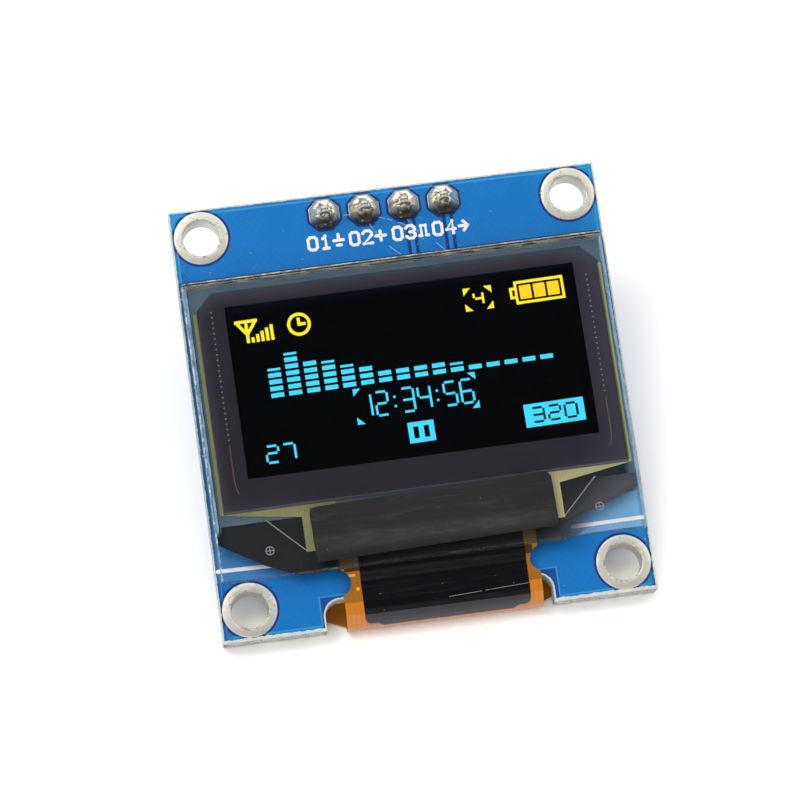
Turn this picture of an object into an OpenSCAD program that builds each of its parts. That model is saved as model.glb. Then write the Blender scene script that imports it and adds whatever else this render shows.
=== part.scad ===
// Small OLED display module: a glass display on a four-pin circuit board.
// Origin: centre of the four mounting holes, on the board's back face.
// +Z points out of the display, +Y towards the pin header. Millimetres.

/* [Circuit board] */
// Width of board that shows on each side of the display
side_margin = 0.3; // [0.1:0.1:1.5]
// Height of board between the header edge and the display
header_margin = 4.95; // [4.4:0.05:6]
// Height of board between the display and the flex edge
flex_margin = 3.59; // [3.2:0.01:5]
// Thickness of the board
board_t = 1.6; // [1.2:0.1:2]
// Width of the notch that the flex tail folds through
notch_w = 14.3; // [13.6:0.1:15]
// Depth of the notch
notch_d = 1.85; // [1.4:0.05:2.2]
// Radius of the notch's inner corners
notch_r = 1; // [0.4:0.1:1.3]
// Thickness of the metal plating in every hole
plating_t = 0.05; // [0.03:0.01:0.08]

/* [Mounting holes] */
// Distance of each mounting hole's centre from the two board edges beside it
hole_inset = 1.9; // [1.8:0.05:2.2]
// Finished bore of a mounting hole
hole_d = 2.3; // [2:0.1:2.5]
// Outer diameter of the plated ring round a mounting hole
ring_d = 3.45; // [3.1:0.05:3.5]
// Height of the plated ring over the board's face
ring_t = 0.08; // [0.05:0.01:0.12]

/* [Pin header] */
// Number of pins in the header
pin_count = 4; // [3:1:7]
// Distance between neighbouring pins
pin_pitch = 2.54; // [2.5:0.02:2.56]
// Side of a pin's square section
pin_w = 0.64; // [0.56:0.02:0.68]
// Distance of the pin row from the header edge of the board
pin_inset = 1.3; // [1.25:0.05:1.6]
// Length of a pin above the board's front face
pin_proud = 1.4; // [1.2:0.1:2]
// Free length of a pin behind the plastic strip
pin_free = 6; // [4:0.5:9]
// Length of the tapered tip of a pin
pin_tip = 0.4; // [0.2:0.1:0.6]
// Width left at the end of the tapered tip
pin_tip_w = 0.3; // [0.2:0.05:0.5]
// Height of the plastic strip, along the pins
strip_h = 2.54; // [2:0.1:3]
// Depth of the plastic strip, across the pin row
strip_d = 2.5; // [2.2:0.1:2.5]
// Chamfer at the corners of each cell of the strip
strip_chamfer = 0.45; // [0.2:0.05:0.7]
// Finished bore of a pin hole in the board
pin_hole_d = 1; // [0.98:0.02:1.1]
// Size of an octagonal solder pad, across its flats
pin_pad_w = 1.95; // [1.8:0.05:2.1]
// Height of a solder pad over the board's face
pad_t = 0.05; // [0.03:0.01:0.08]
// Height of a solder dome over its pad
dome_h = 1.12; // [0.9:0.02:1.15]
// Width of the pad's rim left bare round a solder dome
dome_rim = 0.06; // [0.03:0.01:0.15]

/* [Display glass] */
// Width of the front glass
glass_w = 26.7; // [24:0.1:32]
// Height of the front glass
glass_h = 19.26; // [17.4:0.02:24]
// Thickness of the front glass
glass_t = 0.7; // [0.5:0.05:1.1]
// Turn of the display on the board, in degrees
display_turn = 0.4; // [0:0.1:0.6]
// Thickness of the foam tape between the board and the display
tape_t = 0.2; // [0.15:0.05:0.4]
// Bare margin between the tape and the edges of the back glass
tape_margin = 1.8; // [1:0.1:4]
// Thickness of the back glass
cap_t = 0.55; // [0.5:0.05:0.8]
// Height of the strip of front glass that the back glass leaves free
ledge_h = 3.65; // [3.5:0.05:4]
// Depth of the cavity etched into the back glass
cavity_d = 0.25; // [0.2:0.01:0.35]
// Margin of the cavity round the lit area
cavity_margin = 0.3; // [0.2:0.05:0.5]
// Thickness of the moisture-absorbing sheet in the cavity
getter_t = 0.12; // [0.05:0.01:0.15]
// Margin between that sheet and the cavity's walls
getter_margin = 1.6; // [0.5:0.1:3]
// Thickness of the seal between the two glasses
seal_t = 0.05; // [0.04:0.01:0.1]
// Distance of the seal's outer edge inside the polariser's edge
seal_margin = 0.15; // [0.05:0.05:0.2]

/* [Polariser and lit area] */
// Mean distance of the polariser's sides inside the glass's sides
polariser_side = 0.6; // [0.4:0.05:0.8]
// Sideways shift of the polariser on the glass
polariser_x = 0.12; // [-0.15:0.03:0.15]
// Height of the glass left bare below the polariser
polariser_ledge = 4.36; // [4.2:0.02:4.6]
// Thickness of the polariser film
polariser_t = 0.2; // [0.1:0.02:0.3]
// Distance of the polariser's top edge below the glass's top edge
polariser_inset = 0.9; // [0.8:0.05:1]
// Cut-off at the polariser's two upper corners
polariser_chamfer = 1.05; // [0.5:0.05:1.1]
// Mean distance of the black lit area inside the polariser's sides
active_side = 1.65; // [1.5:0.05:2]
// Sideways shift of the lit area and its electrodes on the glass
active_x = 0.27; // [-0.3:0.03:0.3]
// Distance of the lit area below the polariser's top edge
active_top_margin = 0.82; // [0.76:0.01:1.2]
// Distance of the lit area above the polariser's lower edge
active_low_margin = 2.08; // [1.6:0.01:2.2]
// Thickness of the lit layer
layer_t = 0.04; // [0.02:0.01:0.05]
// Thickness of a lit mark on that layer
mark_t = 0.02; // [0.02:0.01:0.03]

/* [Picture on the display] */
// Turn of the picture inside the lit area, in degrees
picture_turn = 0.75; // [-1:0.05:1]
// Line width of the small marks
stroke_w = 0.2; // [0.15:0.01:0.24]
// Distance of the yellow row's middle from the lit area's top edge
yellow_row_inset = 1.6; // [1.3:0.05:1.8]
// Height of the yellow marks
yellow_mark_h = 1.5; // [1.2:0.05:1.6]
// Distance of the antenna sign's middle from the lit area's left edge
antenna_inset = 1.25; // [1:0.05:1.6]
// Width of the antenna sign
antenna_w = 1.45; // [1.2:0.05:1.5]
// Distance between the bars beside the antenna
signal_pitch = 0.31; // [0.28:0.01:0.34]
// Number of bars beside the antenna
signal_bars = 5; // [3:1:6]
// Distance of the round clock sign from the antenna sign
clock_gap = 3.3; // [3:0.05:3.8]
// Length of the clock sign's two hands
clock_hand = 0.42; // [0.3:0.02:0.45]
// Distance of the small sign with four corner marks from the battery sign's case
corner_sign_gap = 2.33; // [1.6:0.01:3]
// Width of that sign
corner_sign_w = 1.8; // [1.5:0.1:2]
// Distance of the battery sign from the lit area's right edge
battery_inset = 0.73; // [0.4:0.01:1.2]
// Length of the battery sign's case
battery_w = 3.15; // [2.8:0.05:3.3]
// Length of the battery sign's nub
battery_nub_w = 0.32; // [0.2:0.02:0.4]
// Height of the battery sign's nub
battery_nub_h = 0.75; // [0.5:0.05:0.9]
// Line width of the battery sign
battery_line_w = 0.17; // [0.12:0.01:0.2]
// Number of cells in the battery sign
battery_cells = 3; // [2:1:4]
// Gap round every cell of the battery sign
battery_gap = 0.14; // [0.08:0.01:0.16]
// Distance of the level meter from both sides of the lit area
meter_inset = 2.14; // [1.6:0.02:3]
// Gap between the columns of the level meter
meter_gap = 0.32; // [0.2:0.01:0.4]
// Distance between the blocks of a column
meter_step = 0.432; // [0.38:0.01:0.46]
// Height of a block
meter_block_h = 0.28; // [0.2:0.01:0.32]
// Height of the thin block on top of some columns
meter_peak_h = 0.15; // [0.1:0.01:0.18]
// Distance of the meter's lowest blocks from the lit area's top edge
meter_drop = 5.92; // [5.4:0.02:6.2]
// Distance of the title's middle from the lit area's top edge
title_drop = 7.4; // [7.2:0.02:7.8]
// Width between the title's corner marks
title_w = 7.75; // [7:0.05:9]
// Height between the title's corner marks
title_h = 2.3; // [2:0.05:2.4]
// Size of a corner mark
corner_mark = 0.48; // [0.3:0.02:0.5]
// Distance of the bottom row's middle from the lit area's lower edge
bottom_row_inset = 1.55; // [1.2:0.05:1.65]
// Width of the pause sign
pause_w = 1.65; // [1.4:0.05:2]
// Height of the pause sign
pause_h = 1.33; // [1.1:0.01:1.4]
// Width of a dark bar in the pause sign
pause_bar_w = 0.32; // [0.2:0.02:0.36]
// Height of a dark bar in the pause sign
pause_bar_h = 0.75; // [0.6:0.05:0.85]
// Distance between the middles of the two dark bars
pause_bar_pitch = 0.66; // [0.5:0.02:0.8]
// Distance of the filled box from the lit area's right edge
box_inset = 0.75; // [0.4:0.05:1.2]
// Width of the filled box
box_w = 3.8; // [3:0.1:4]
// Height of the filled box
box_h = 1.49; // [1.2:0.01:1.6]

/* [Ledge of the front glass] */
// Thickness of the electrode metal on the glass
trace_t = 0.02; // [0.01:0.01:0.03]
// Width of the metal line beside the polariser
side_trace_w = 0.22; // [0.15:0.01:0.3]
// Gap between the polariser's edge and that line
side_trace_gap = 0.02; // [0.01:0.01:0.04]
// Distance of a contact leg's outer edge from the middle of the glass
leg_x = 8.12; // [7.9:0.02:8.4]
// Width of a contact leg
leg_w = 0.54; // [0.4:0.02:0.7]
// Length of a contact leg below the back glass's edge
leg_len = 2.25; // [1.8:0.05:2.4]
// Length of the narrow metal strip from a contact leg towards the middle
bus_len = 1.65; // [1:0.05:2]
// Width of that strip
bus_w = 0.22; // [0.15:0.01:0.3]
// Width of the thin slanted line on each side
slant_w = 0.06; // [0.04:0.01:0.15]
// Diameter of an alignment mark
target_d = 0.56; // [0.4:0.02:0.6]
// Distance of an alignment mark from the glass's side
target_inset = 2.97; // [2.4:0.01:3.2]
// Height of an alignment mark above the glass's lower edge
target_y = 1.78; // [1.4:0.02:1.9]
// Width of an alignment mark's lines
target_line_w = 0.055; // [0.04:0.005:0.08]
// Thickness of the black film behind the ledge
film_t = 0.05; // [0.03:0.01:0.08]
// Distance of the film's straight sides inside the glass's edges
film_margin = 0.05; // [0:0.01:0.1]
// Gap between the film and the flex tail's neck, on each side
film_gap = 0.2; // [0.1:0.05:0.3]
// Height of the film's straight side
film_side_h = 1.05; // [0.8:0.05:1.2]
// Distance of the film's lower corners from the glass's sides
film_low_inset = 4.85; // [4.4:0.05:5.2]
// Distance from the glass's sides of the place where the film starts to slant steeply
film_mid_inset = 2.85; // [2.4:0.05:3.2]
// Height of that place above the glass's lower edge
film_mid_y = 0.88; // [0.8:0.02:1]
// Thickness of the black tape on the ledge
shield_t = 0.08; // [0.05:0.01:0.15]
// Width of that tape
shield_w = 15.25; // [14.8:0.05:15.4]
// Height of that tape
shield_h = 3.5; // [3.2:0.05:3.6]
// Radius of the tape's upper corners
shield_r = 0.5; // [0.2:0.05:0.8]
// Sideways shift of the tape
shield_x = 0.25; // [0:0.05:0.3]
// Turn of the tape on the glass, in degrees
shield_turn = 1.2; // [0:0.1:1.4]
// Gap between the polariser and the tape
shield_gap = 0.2; // [0.19:0.01:0.3]
// Length of the driver chip
chip_w = 6.8; // [5:0.1:9]
// Width of the driver chip
chip_h = 0.95; // [0.8:0.05:1.1]
// Thickness of the driver chip
chip_t = 0.35; // [0.25:0.05:0.5]
// Gap between the back glass's edge and the driver chip
chip_gap = 0.65; // [0.5:0.05:0.8]

/* [Flex tail] */
// Thickness of the flex tail
flex_t = 0.1; // [0.07:0.01:0.14]
// Width of the tail's neck, which folds round the board
neck_w = 12.35; // [12:0.05:13]
// Sideways shift of the neck
neck_x = 0.3; // [0:0.05:0.4]
// Length of the flex bonded under the ledge
bond_len = 1.1; // [0.8:0.05:1.2]
// Radius of the two soft bends between the glass and the fold
bend_r = 1; // [0.6:0.05:1.2]
// Gap between the board's front face and the flex before the fold
fold_gap = 0.35; // [0.25:0.01:0.42]
// Distance that the fold stands past the board's lower edge
fold_reach = 0.1; // [0:0.05:0.3]
// Outside radius of the fold's lower half, behind the board; the upper half takes the rest
fold_low_r = 0.7; // [0.5:0.05:1]
// Depth of the relief notch on each side of the neck
relief_d = 0.56; // [0.4:0.02:0.6]
// Radius of the relief notches
relief_r = 0.78; // [0.7:0.02:0.85]
// Radius where a relief notch meets the neck's edge
relief_fillet = 0.2; // [0.1:0.02:0.25]
// Distance of the relief notches below the glass's lower edge
relief_y = 0.85; // [0.8:0.05:1]
// Distance of the broad end's sides inside the board's sides
tail_inset = 3.95; // [3.9:0.05:5]
// Width of the broad end past its outer contacts, on each side
tail_margin = 0.71; // [0.5:0.01:1]
// Length of the broad end, from the fold's outside to its free edge
tail_len = 4.9; // [4.4:0.1:6]
// Distance from the fold's outside to where the shoulders start
shoulder_y = 0.4; // [0.36:0.02:0.6]
// Slope of the shoulders, in degrees
shoulder_a = 22; // [15:1:25]
// Thickness of the black cover on the neck
cover_t = 0.04; // [0.02:0.01:0.06]
// Width of bare flex on the left of the black cover
cover_left = 1.16; // [0.9:0.02:1.4]
// Width of bare flex on the right of the black cover
cover_right = 0.8; // [0.7:0.02:1.4]
// Distance of the cover's lower edge from the fold's outside
cover_end = 0.22; // [0.15:0.01:0.3]
// Gap between the cover's upper edge and the glass
cover_gap = 0.05; // [0.03:0.01:0.1]
// Radius of the cover's lower corners
cover_r = 0.36; // [0.2:0.02:0.5]
// Number of soldered contacts on the broad end
contact_count = 30; // [28:2:30]
// Width of the solder on a contact
contact_w = 0.32; // [0.26:0.02:0.36]
// Length of the solder on the flex
contact_len = 1.1; // [0.8:0.1:1.4]
// Length of the solder past the flex, on the board
contact_past = 0.45; // [0.3:0.05:0.7]

/* [Parts on the back] */
// Distance of the upper row of parts from the pin row
upper_row_gap = 7.2; // [6:0.1:8]
// Distance of the lower row of parts from the flex tail's free edge
lower_row_gap = 3.5; // [2.5:0.1:4.5]
// Height of the middle row over the mounting holes' centre
middle_row_y = -1.8; // [-2:0.1:1]
// Length of a small chip part
chip_part_l = 1.6; // [1.5:0.05:1.7]
// Width of a small chip part
chip_part_w = 0.8; // [0.7:0.05:0.9]
// Height of a capacitor
capacitor_h = 0.8; // [0.6:0.05:0.9]
// Height of a resistor
resistor_h = 0.45; // [0.35:0.05:0.6]
// Length of the metal cap at each end of a chip part
end_l = 0.35; // [0.25:0.05:0.45]
// Thickness of the metal cap
end_t = 0.03; // [0.02:0.01:0.04]
// Length of the regulator's body
regulator_l = 2.9; // [2.8:0.05:3.1]
// Width of the regulator's body
regulator_w = 1.35; // [1.2:0.05:1.5]
// Length of the diode's body
diode_l = 2.7; // [2.5:0.05:2.9]
// Width of the diode's body
diode_w = 1.6; // [1.4:0.05:1.8]
// Height of both moulded bodies
moulded_h = 1; // [0.9:0.05:1.2]
// Slope of the moulded sides, in degrees
moulded_draft = 8; // [4:1:10]
// Gap between a moulded body and the board
moulded_gap = 0.1; // [0.05:0.01:0.15]
// Thickness of a metal lead
lead_t = 0.13; // [0.1:0.01:0.16]
// Width of a regulator lead
lead_w = 0.42; // [0.36:0.02:0.5]
// Width of a diode lead
diode_lead_w = 0.6; // [0.5:0.05:0.8]
// Reach of a lead out of its body
lead_reach = 0.62; // [0.55:0.02:0.75]
// Straight length of a lead before its first bend
lead_exit = 0.05; // [0.03:0.01:0.08]
// Inside radius of a lead's bends
lead_r = 0.1; // [0.05:0.01:0.12]
// Distance between the two leads on one side of the regulator
lead_pitch = 1.9; // [1.8:0.05:2]
// Size of a solder fillet along and up the metal
fillet_r = 0.3; // [0.2:0.05:0.34]
// Width of the solder at the end of a chip part
fillet_w = 0.72; // [0.6:0.02:0.78]

/* [Hidden] */
// Curves are exact surfaces in the finished solids; this only sets the preview.
$fn = 48;
// Overlap of a cutting solid past the surface that it cuts
cut = 0.5;

// Sides of the display pieces
board_w = glass_w + 2 * side_margin;
board_h = header_margin + glass_h + flex_margin;
polariser_w = glass_w - 2 * polariser_side;
polariser_h = glass_h - polariser_inset - polariser_ledge;
active_w = polariser_w - 2 * active_side;
active_h = polariser_h - active_top_margin - active_low_margin;

// Yellow and blue columns of the meter: whole blocks, and a half is a thin peak
meter_levels = [4.5, 6.5, 5, 4.5, 3.5, 3, 2, 2, 2, 2, 1.5, 1, 1, 1, 1, 1];

// Heights of the layers, counted up from the board's back face
tape_z = board_t;
cap_z = tape_z + tape_t;
seal_z = cap_z + cap_t;
glass_z = seal_z + seal_t;
glass_top_z = glass_z + glass_t;

// Places on the board
hole_x = board_w / 2 - hole_inset;
hole_y = board_h / 2 - hole_inset;
pin_y = board_h / 2 - pin_inset;
board_low_y = -board_h / 2;

// Places on the display, measured from the middle of the front glass
display_y = board_h / 2 - header_margin - glass_h / 2;
glass_top = glass_h / 2;
glass_low = -glass_h / 2;
polariser_top = glass_top - polariser_inset;
polariser_low = polariser_top - polariser_h;
active_y = polariser_top - active_top_margin - active_h / 2;
cap_low = glass_low + ledge_h;

// The folded flex: outside radius of the fold's upper half, and where both halves meet
fold_top_r = board_t + fold_gap + 2 * flex_t - fold_low_r;
fold_out_y = board_low_y - fold_reach;
fold_z = fold_low_r - flex_t;
glass_low_y = display_y + glass_low;
bend_drop = glass_z - flex_t - board_t - fold_gap;
bend_a = acos(1 - bend_drop / (2 * bend_r));
bend_len = 2 * bend_r * sin(bend_a);
tail_top_y = fold_out_y + tail_len;
tail_w = board_w - 2 * tail_inset;
contact_pitch = (tail_w - 2 * tail_margin) / (contact_count - 1);

// Places of the marks in the picture, measured from the middle of the lit area
yellow_row_y = active_h / 2 - yellow_row_inset;
meter_y = active_h / 2 - meter_drop;
title_y = active_h / 2 - title_drop;
bottom_row_y = bottom_row_inset - active_h / 2;
antenna_x = antenna_inset - active_w / 2;
clock_x = antenna_x + clock_gap;
battery_x = active_w / 2 - battery_inset - battery_w / 2;
corner_sign_x = battery_x - battery_w / 2 - corner_sign_gap;
box_x = active_w / 2 - box_inset - box_w / 2;
meter_pitch = (active_w - 2 * meter_inset + meter_gap) / len(meter_levels);
meter_bar_w = meter_pitch - meter_gap;

// Places of the parts on the back
upper_row_y = pin_y - upper_row_gap;
lower_row_y = tail_top_y + lower_row_gap;
capacitor_places = [[-10.3, upper_row_y], [-4.2, upper_row_y], [9.6, middle_row_y],
                    [-2.4, lower_row_y], [3.4, lower_row_y]];
resistor_places = [for (i = [0:3]) [1.2 + 2.7 * i, upper_row_y]];
regulator_place = [-7.3, upper_row_y];
diode_place = [6.2, middle_row_y];

// ---- General shapes -------------------------------------------------------

// Rectangle given by its left, lower, right and upper edges
module span(left, low, right, top) {
    translate([left, low]) square([right - left, top - low]);
}

// Rectangle centred sideways at x, between two heights
module column(x, w, low, top) {
    span(x - w / 2, low, x + w / 2, top);
}

// Points along an arc, from one angle to another
function arc_points(centre, r, a0, a1, steps = 8) =
    [for (i = [0:steps])
        let (a = a0 + (a1 - a0) * i / steps) centre + r * [cos(a), sin(a)]];

// Stretch of a ring between two angles at most 90 degrees apart
module ring_part(r_in, r_out, a0, a1) {
    far = 2 * r_out;
    mid = (a0 + a1) / 2;
    intersection() {
        difference() {
            circle(r_out);
            circle(r_in);
        }
        polygon([[0, 0], far * [cos(a0), sin(a0)], far * [cos(mid), sin(mid)],
                 far * [cos(a1), sin(a1)]]);
    }
}

// Straight line between two points, with a width
module line(from, to, w) {
    run = to - from;
    translate(from)
        rotate(atan2(run.y, run.x))
            translate([0, -w / 2]) square([norm(run), w]);
}

// The same shape on the left and on the right
module both_sides() {
    children();
    mirror([1, 0, 0]) children();
}

// Plate of a thickness, standing on a height
module plate(z, t) {
    translate([0, 0, z]) linear_extrude(t) children();
}

// Moves a shape from the middle of the glass to the display's place on the board
module on_display() {
    translate([0, display_y, 0]) rotate(display_turn) children();
}

// Turns a shape built upwards into one that hangs under the board's back face
module on_back(place, turn = 0) {
    translate([place.x, place.y, 0]) rotate(turn) mirror([0, 0, 1]) children();
}

// ---- Circuit board and its plated holes -------------------------------------

function hole_place(i) = [(i % 2 == 1 ? -1 : 1) * hole_x, (i <= 2 ? 1 : -1) * hole_y, 0];
function pin_place(i) = [(i - (pin_count + 1) / 2) * pin_pitch, pin_y, 0];

module notch() {
    top = board_low_y + notch_d;
    column(0, notch_w - 2 * notch_r, board_low_y - cut, top);
    column(0, notch_w, board_low_y - cut, top - notch_r);
    both_sides() translate([notch_w / 2 - notch_r, top - notch_r]) circle(notch_r);
}

module circuit_board() {
    color("royalblue")
        difference() {
            linear_extrude(board_t)
                difference() {
                    square([board_w, board_h], center = true);
                    notch();
                }
            for (i = [1:4])
                translate(hole_place(i) - [0, 0, cut])
                    cylinder(d = hole_d + 2 * plating_t, h = board_t + 2 * cut);
            for (i = [1:pin_count])
                translate(pin_place(i) - [0, 0, cut])
                    cylinder(d = pin_hole_d + 2 * plating_t, h = board_t + 2 * cut);
        }
}

// Section of the plated ring: a flat land with round edges
module ring_section() {
    round_r = ring_t / 2;
    span(hole_d / 2, 0, ring_d / 2 - round_r, ring_t);
    translate([ring_d / 2 - round_r, round_r]) circle(round_r);
}

module hole_plating(i) {
    color("silver")
        translate(hole_place(i))
            rotate_extrude() {
                span(hole_d / 2, -ring_t, hole_d / 2 + plating_t, board_t + ring_t);
                translate([0, board_t]) ring_section();
                translate([0, -ring_t]) ring_section();
            }
}

module pin_pad(i) {
    color("silver")
        translate(pin_place(i))
            difference() {
                union() {
                    cylinder(d = pin_hole_d + 2 * plating_t, h = board_t);
                    for (z = [-pad_t, board_t])
                        translate([0, 0, z])
                            rotate(180 / 8)
                                cylinder(d = pin_pad_w / cos(180 / 8), h = pad_t, $fn = 8);
                }
                translate([0, 0, -cut]) cylinder(d = pin_hole_d, h = board_t + 2 * cut);
            }
}

// ---- Pin header -------------------------------------------------------------

// Outline of a pin from the side, tapered at both ends
module pin_side(low, top) {
    polygon([[-pin_w / 2, low + pin_tip], [-pin_tip_w / 2, low], [pin_tip_w / 2, low],
             [pin_w / 2, low + pin_tip], [pin_w / 2, top - pin_tip], [pin_tip_w / 2, top],
             [-pin_tip_w / 2, top], [-pin_w / 2, top - pin_tip]]);
}

module pin_shape() {
    low = -pad_t - strip_h - pin_free;
    top = board_t + pin_proud;
    intersection() {
        rotate([90, 0, 0]) linear_extrude(pin_w, center = true) pin_side(low, top);
        rotate([90, 0, 90]) linear_extrude(pin_w, center = true) pin_side(low, top);
    }
}

module header_pin(i) {
    color("gold") translate(pin_place(i)) pin_shape();
}

module solder_joint(i) {
    base_r = pin_pad_w / 2 - dome_rim;
    dome_r = (base_r * base_r + dome_h * dome_h) / (2 * dome_h);
    dome_z = board_t + pad_t;
    color("silver")
        translate(pin_place(i))
            difference() {
                union() {
                    translate([0, 0, -pad_t]) cylinder(d = pin_hole_d, h = dome_z + pad_t);
                    intersection() {
                        translate([0, 0, dome_z + dome_h - dome_r]) sphere(dome_r);
                        translate([0, 0, dome_z]) cylinder(r = pin_pad_w / 2, h = 2 * dome_h);
                    }
                }
                pin_shape();
            }
}

module strip_cell() {
    c = strip_chamfer;
    x = pin_pitch / 2;
    y = strip_d / 2;
    polygon([[c - x, -y], [x - c, -y], [x, c - y], [x, y - c], [x - c, y], [c - x, y],
             [-x, y - c], [-x, c - y]]);
}

module header_strip() {
    color("black")
        difference() {
            plate(-pad_t - strip_h, strip_h)
                for (i = [1:pin_count]) translate(pin_place(i)) strip_cell();
            for (i = [1:pin_count]) translate(pin_place(i)) pin_shape();
        }
}

// ---- Display ------------------------------------------------------------------

module polariser_outline(inset = 0) {
    x = polariser_w / 2 - inset;
    low = polariser_low + inset;
    top = polariser_top - inset;
    c = polariser_chamfer;
    translate([polariser_x, 0])
        polygon([[-x, low], [x, low], [x, top - c], [x - c, top], [c - x, top], [-x, top - c]]);
}

// The lit area, grown or shrunk by a margin on every side
module active_outline(margin = 0) {
    translate([active_x, active_y])
        square([active_w + 2 * margin, active_h + 2 * margin], center = true);
}

module mounting_tape() {
    color("whitesmoke")
        on_display()
            plate(tape_z, tape_t)
                column(0, glass_w - 2 * tape_margin, cap_low + tape_margin,
                       glass_top - tape_margin);
}

module cap_glass() {
    color("lightcyan", 0.5)
        on_display()
            difference() {
                plate(cap_z, cap_t) column(0, glass_w, cap_low, glass_top);
                plate(seal_z - cavity_d, cavity_d + cut) active_outline(cavity_margin);
            }
}

module getter_sheet() {
    color("gainsboro")
        on_display()
            plate(seal_z - cavity_d, getter_t) active_outline(cavity_margin - getter_margin);
}

module seal_frame() {
    color("dimgray")
        on_display()
            plate(seal_z, seal_t)
                difference() {
                    polariser_outline(seal_margin);
                    active_outline(cavity_margin);
                }
}

module pixel_layer() {
    color("black")
        on_display() plate(glass_z - mark_t - layer_t, layer_t) active_outline();
}

module front_glass() {
    color("lightcyan", 0.4)
        on_display() plate(glass_z, glass_t) square([glass_w, glass_h], center = true);
}

module polariser() {
    color("dimgray", 0.7) on_display() plate(glass_top_z, polariser_t) polariser_outline();
}

// ---- Picture: thin marks on the back of the front glass -----------------------

module on_picture() {
    on_display()
        plate(glass_z - mark_t, mark_t)
            translate([active_x, active_y]) rotate(picture_turn) children();
}

// Antenna with an open triangle on a mast, and bars that rise beside it
module antenna_sign() {
    half = antenna_w / 2;
    top = yellow_row_y + yellow_mark_h / 2;
    low = yellow_row_y - yellow_mark_h / 2;
    joint_y = yellow_row_y - stroke_w;
    column(antenna_x, stroke_w, low, top);
    span(antenna_x - half, top - stroke_w, antenna_x + half, top);
    for (side = [-1, 1])
        line([antenna_x, joint_y], [antenna_x + side * (half - stroke_w / 2), top - stroke_w / 2],
             stroke_w);
    for (i = [1:signal_bars])
        column(antenna_x + i * signal_pitch, stroke_w, low,
               low + yellow_mark_h * (i + 1) / (signal_bars + 4));
}

module clock_sign() {
    r = yellow_mark_h / 2;
    translate([clock_x, yellow_row_y]) {
        difference() {
            circle(r);
            circle(r - stroke_w);
        }
        column(0, stroke_w, -stroke_w / 2, clock_hand);
        span(0, -stroke_w / 2, clock_hand, stroke_w / 2);
    }
}

// Four right-angled corner marks round a space
module corner_marks(w, h) {
    for (sx = [-1, 1], sy = [-1, 1])
        translate([sx * w / 2, sy * h / 2])
            polygon([[0, 0], [-sx * corner_mark, 0], [0, -sy * corner_mark]]);
}

module battery_sign() {
    frame_w = battery_line_w;
    h = yellow_mark_h;
    nub_x = -battery_w / 2 - battery_nub_w;
    inner_w = battery_w - 2 * frame_w;
    cell_pitch = (inner_w - battery_gap) / battery_cells;
    cell_top = h / 2 - frame_w - battery_gap;
    translate([battery_x, yellow_row_y]) {
        difference() {
            square([battery_w, h], center = true);
            square([inner_w, h - 2 * frame_w], center = true);
        }
        difference() {
            span(nub_x, -battery_nub_h / 2, -battery_w / 2, battery_nub_h / 2);
            span(nub_x + frame_w, frame_w - battery_nub_h / 2, 0, battery_nub_h / 2 - frame_w);
        }
        for (i = [1:battery_cells])
            span((i - 1) * cell_pitch + battery_gap - inner_w / 2, -cell_top,
                 i * cell_pitch - inner_w / 2, cell_top);
    }
}

module yellow_pixels() {
    color("gold")
        on_picture() {
            antenna_sign();
            clock_sign();
            translate([corner_sign_x, yellow_row_y])
                corner_marks(corner_sign_w, yellow_mark_h);
            battery_sign();
        }
}

module meter_column(x, level) {
    low = meter_y - meter_block_h / 2;
    for (i = [0:floor(level) - 1])
        column(x, meter_bar_w, low + i * meter_step, low + i * meter_step + meter_block_h);
    if (level > floor(level)) {
        peak_low = low + floor(level) * meter_step;
        column(x, meter_bar_w, peak_low, peak_low + meter_peak_h);
    }
}

module level_meter() {
    middle = (len(meter_levels) - 1) / 2;
    for (i = [0:len(meter_levels) - 1])
        meter_column((i - middle) * meter_pitch, meter_levels[i]);
}

module pause_sign() {
    difference() {
        square([pause_w, pause_h], center = true);
        both_sides()
            translate([pause_bar_pitch / 2, 0]) square([pause_bar_w, pause_bar_h], center = true);
    }
}

module blue_pixels() {
    color("deepskyblue")
        on_picture() {
            level_meter();
            translate([0, title_y]) corner_marks(title_w, title_h);
            translate([0, bottom_row_y]) pause_sign();
            translate([box_x, bottom_row_y]) square([box_w, box_h], center = true);
        }
}

// ---- Ledge --------------------------------------------------------------------

// Side line, wedge, contact leg, narrow strip and slanted line at the right; the
// shifts are those of the polariser and of the electrodes towards that side
module contact_trace(polariser_shift, shift) {
    line_x = polariser_w / 2 + polariser_shift + side_trace_gap;
    line_out = line_x + side_trace_w;
    wedge_y = cap_low - trace_t;
    leg_low = cap_low - leg_len;
    leg_out = leg_x + shift;
    leg_in = leg_out - leg_w;
    span(line_x, polariser_low, line_out, polariser_top - polariser_chamfer);
    polygon([[leg_in, polariser_low], [line_out, polariser_low], [leg_out, wedge_y],
             [leg_in, wedge_y]]);
    span(leg_in, leg_low, leg_out, polariser_low);
    span(leg_in - bus_len, polariser_low - bus_w, leg_in, polariser_low);
    line([leg_out - slant_w, leg_low + slant_w / 2], [leg_out + leg_len, cap_low + slant_w],
         slant_w);
    translate([glass_w / 2 - target_inset + shift, glass_low + target_y]) target();
}

// Ring with a cross in it
module target() {
    arm = target_d - target_line_w;
    difference() {
        circle(target_d / 2);
        circle(target_d / 2 - target_line_w);
    }
    square([arm, target_line_w], center = true);
    square([target_line_w, arm], center = true);
}

module electrode_traces() {
    color("darkkhaki")
        on_display()
            plate(glass_z - trace_t, trace_t) {
                contact_trace(polariser_x, active_x);
                mirror([1, 0]) contact_trace(-polariser_x, -active_x);
            }
}

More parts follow.
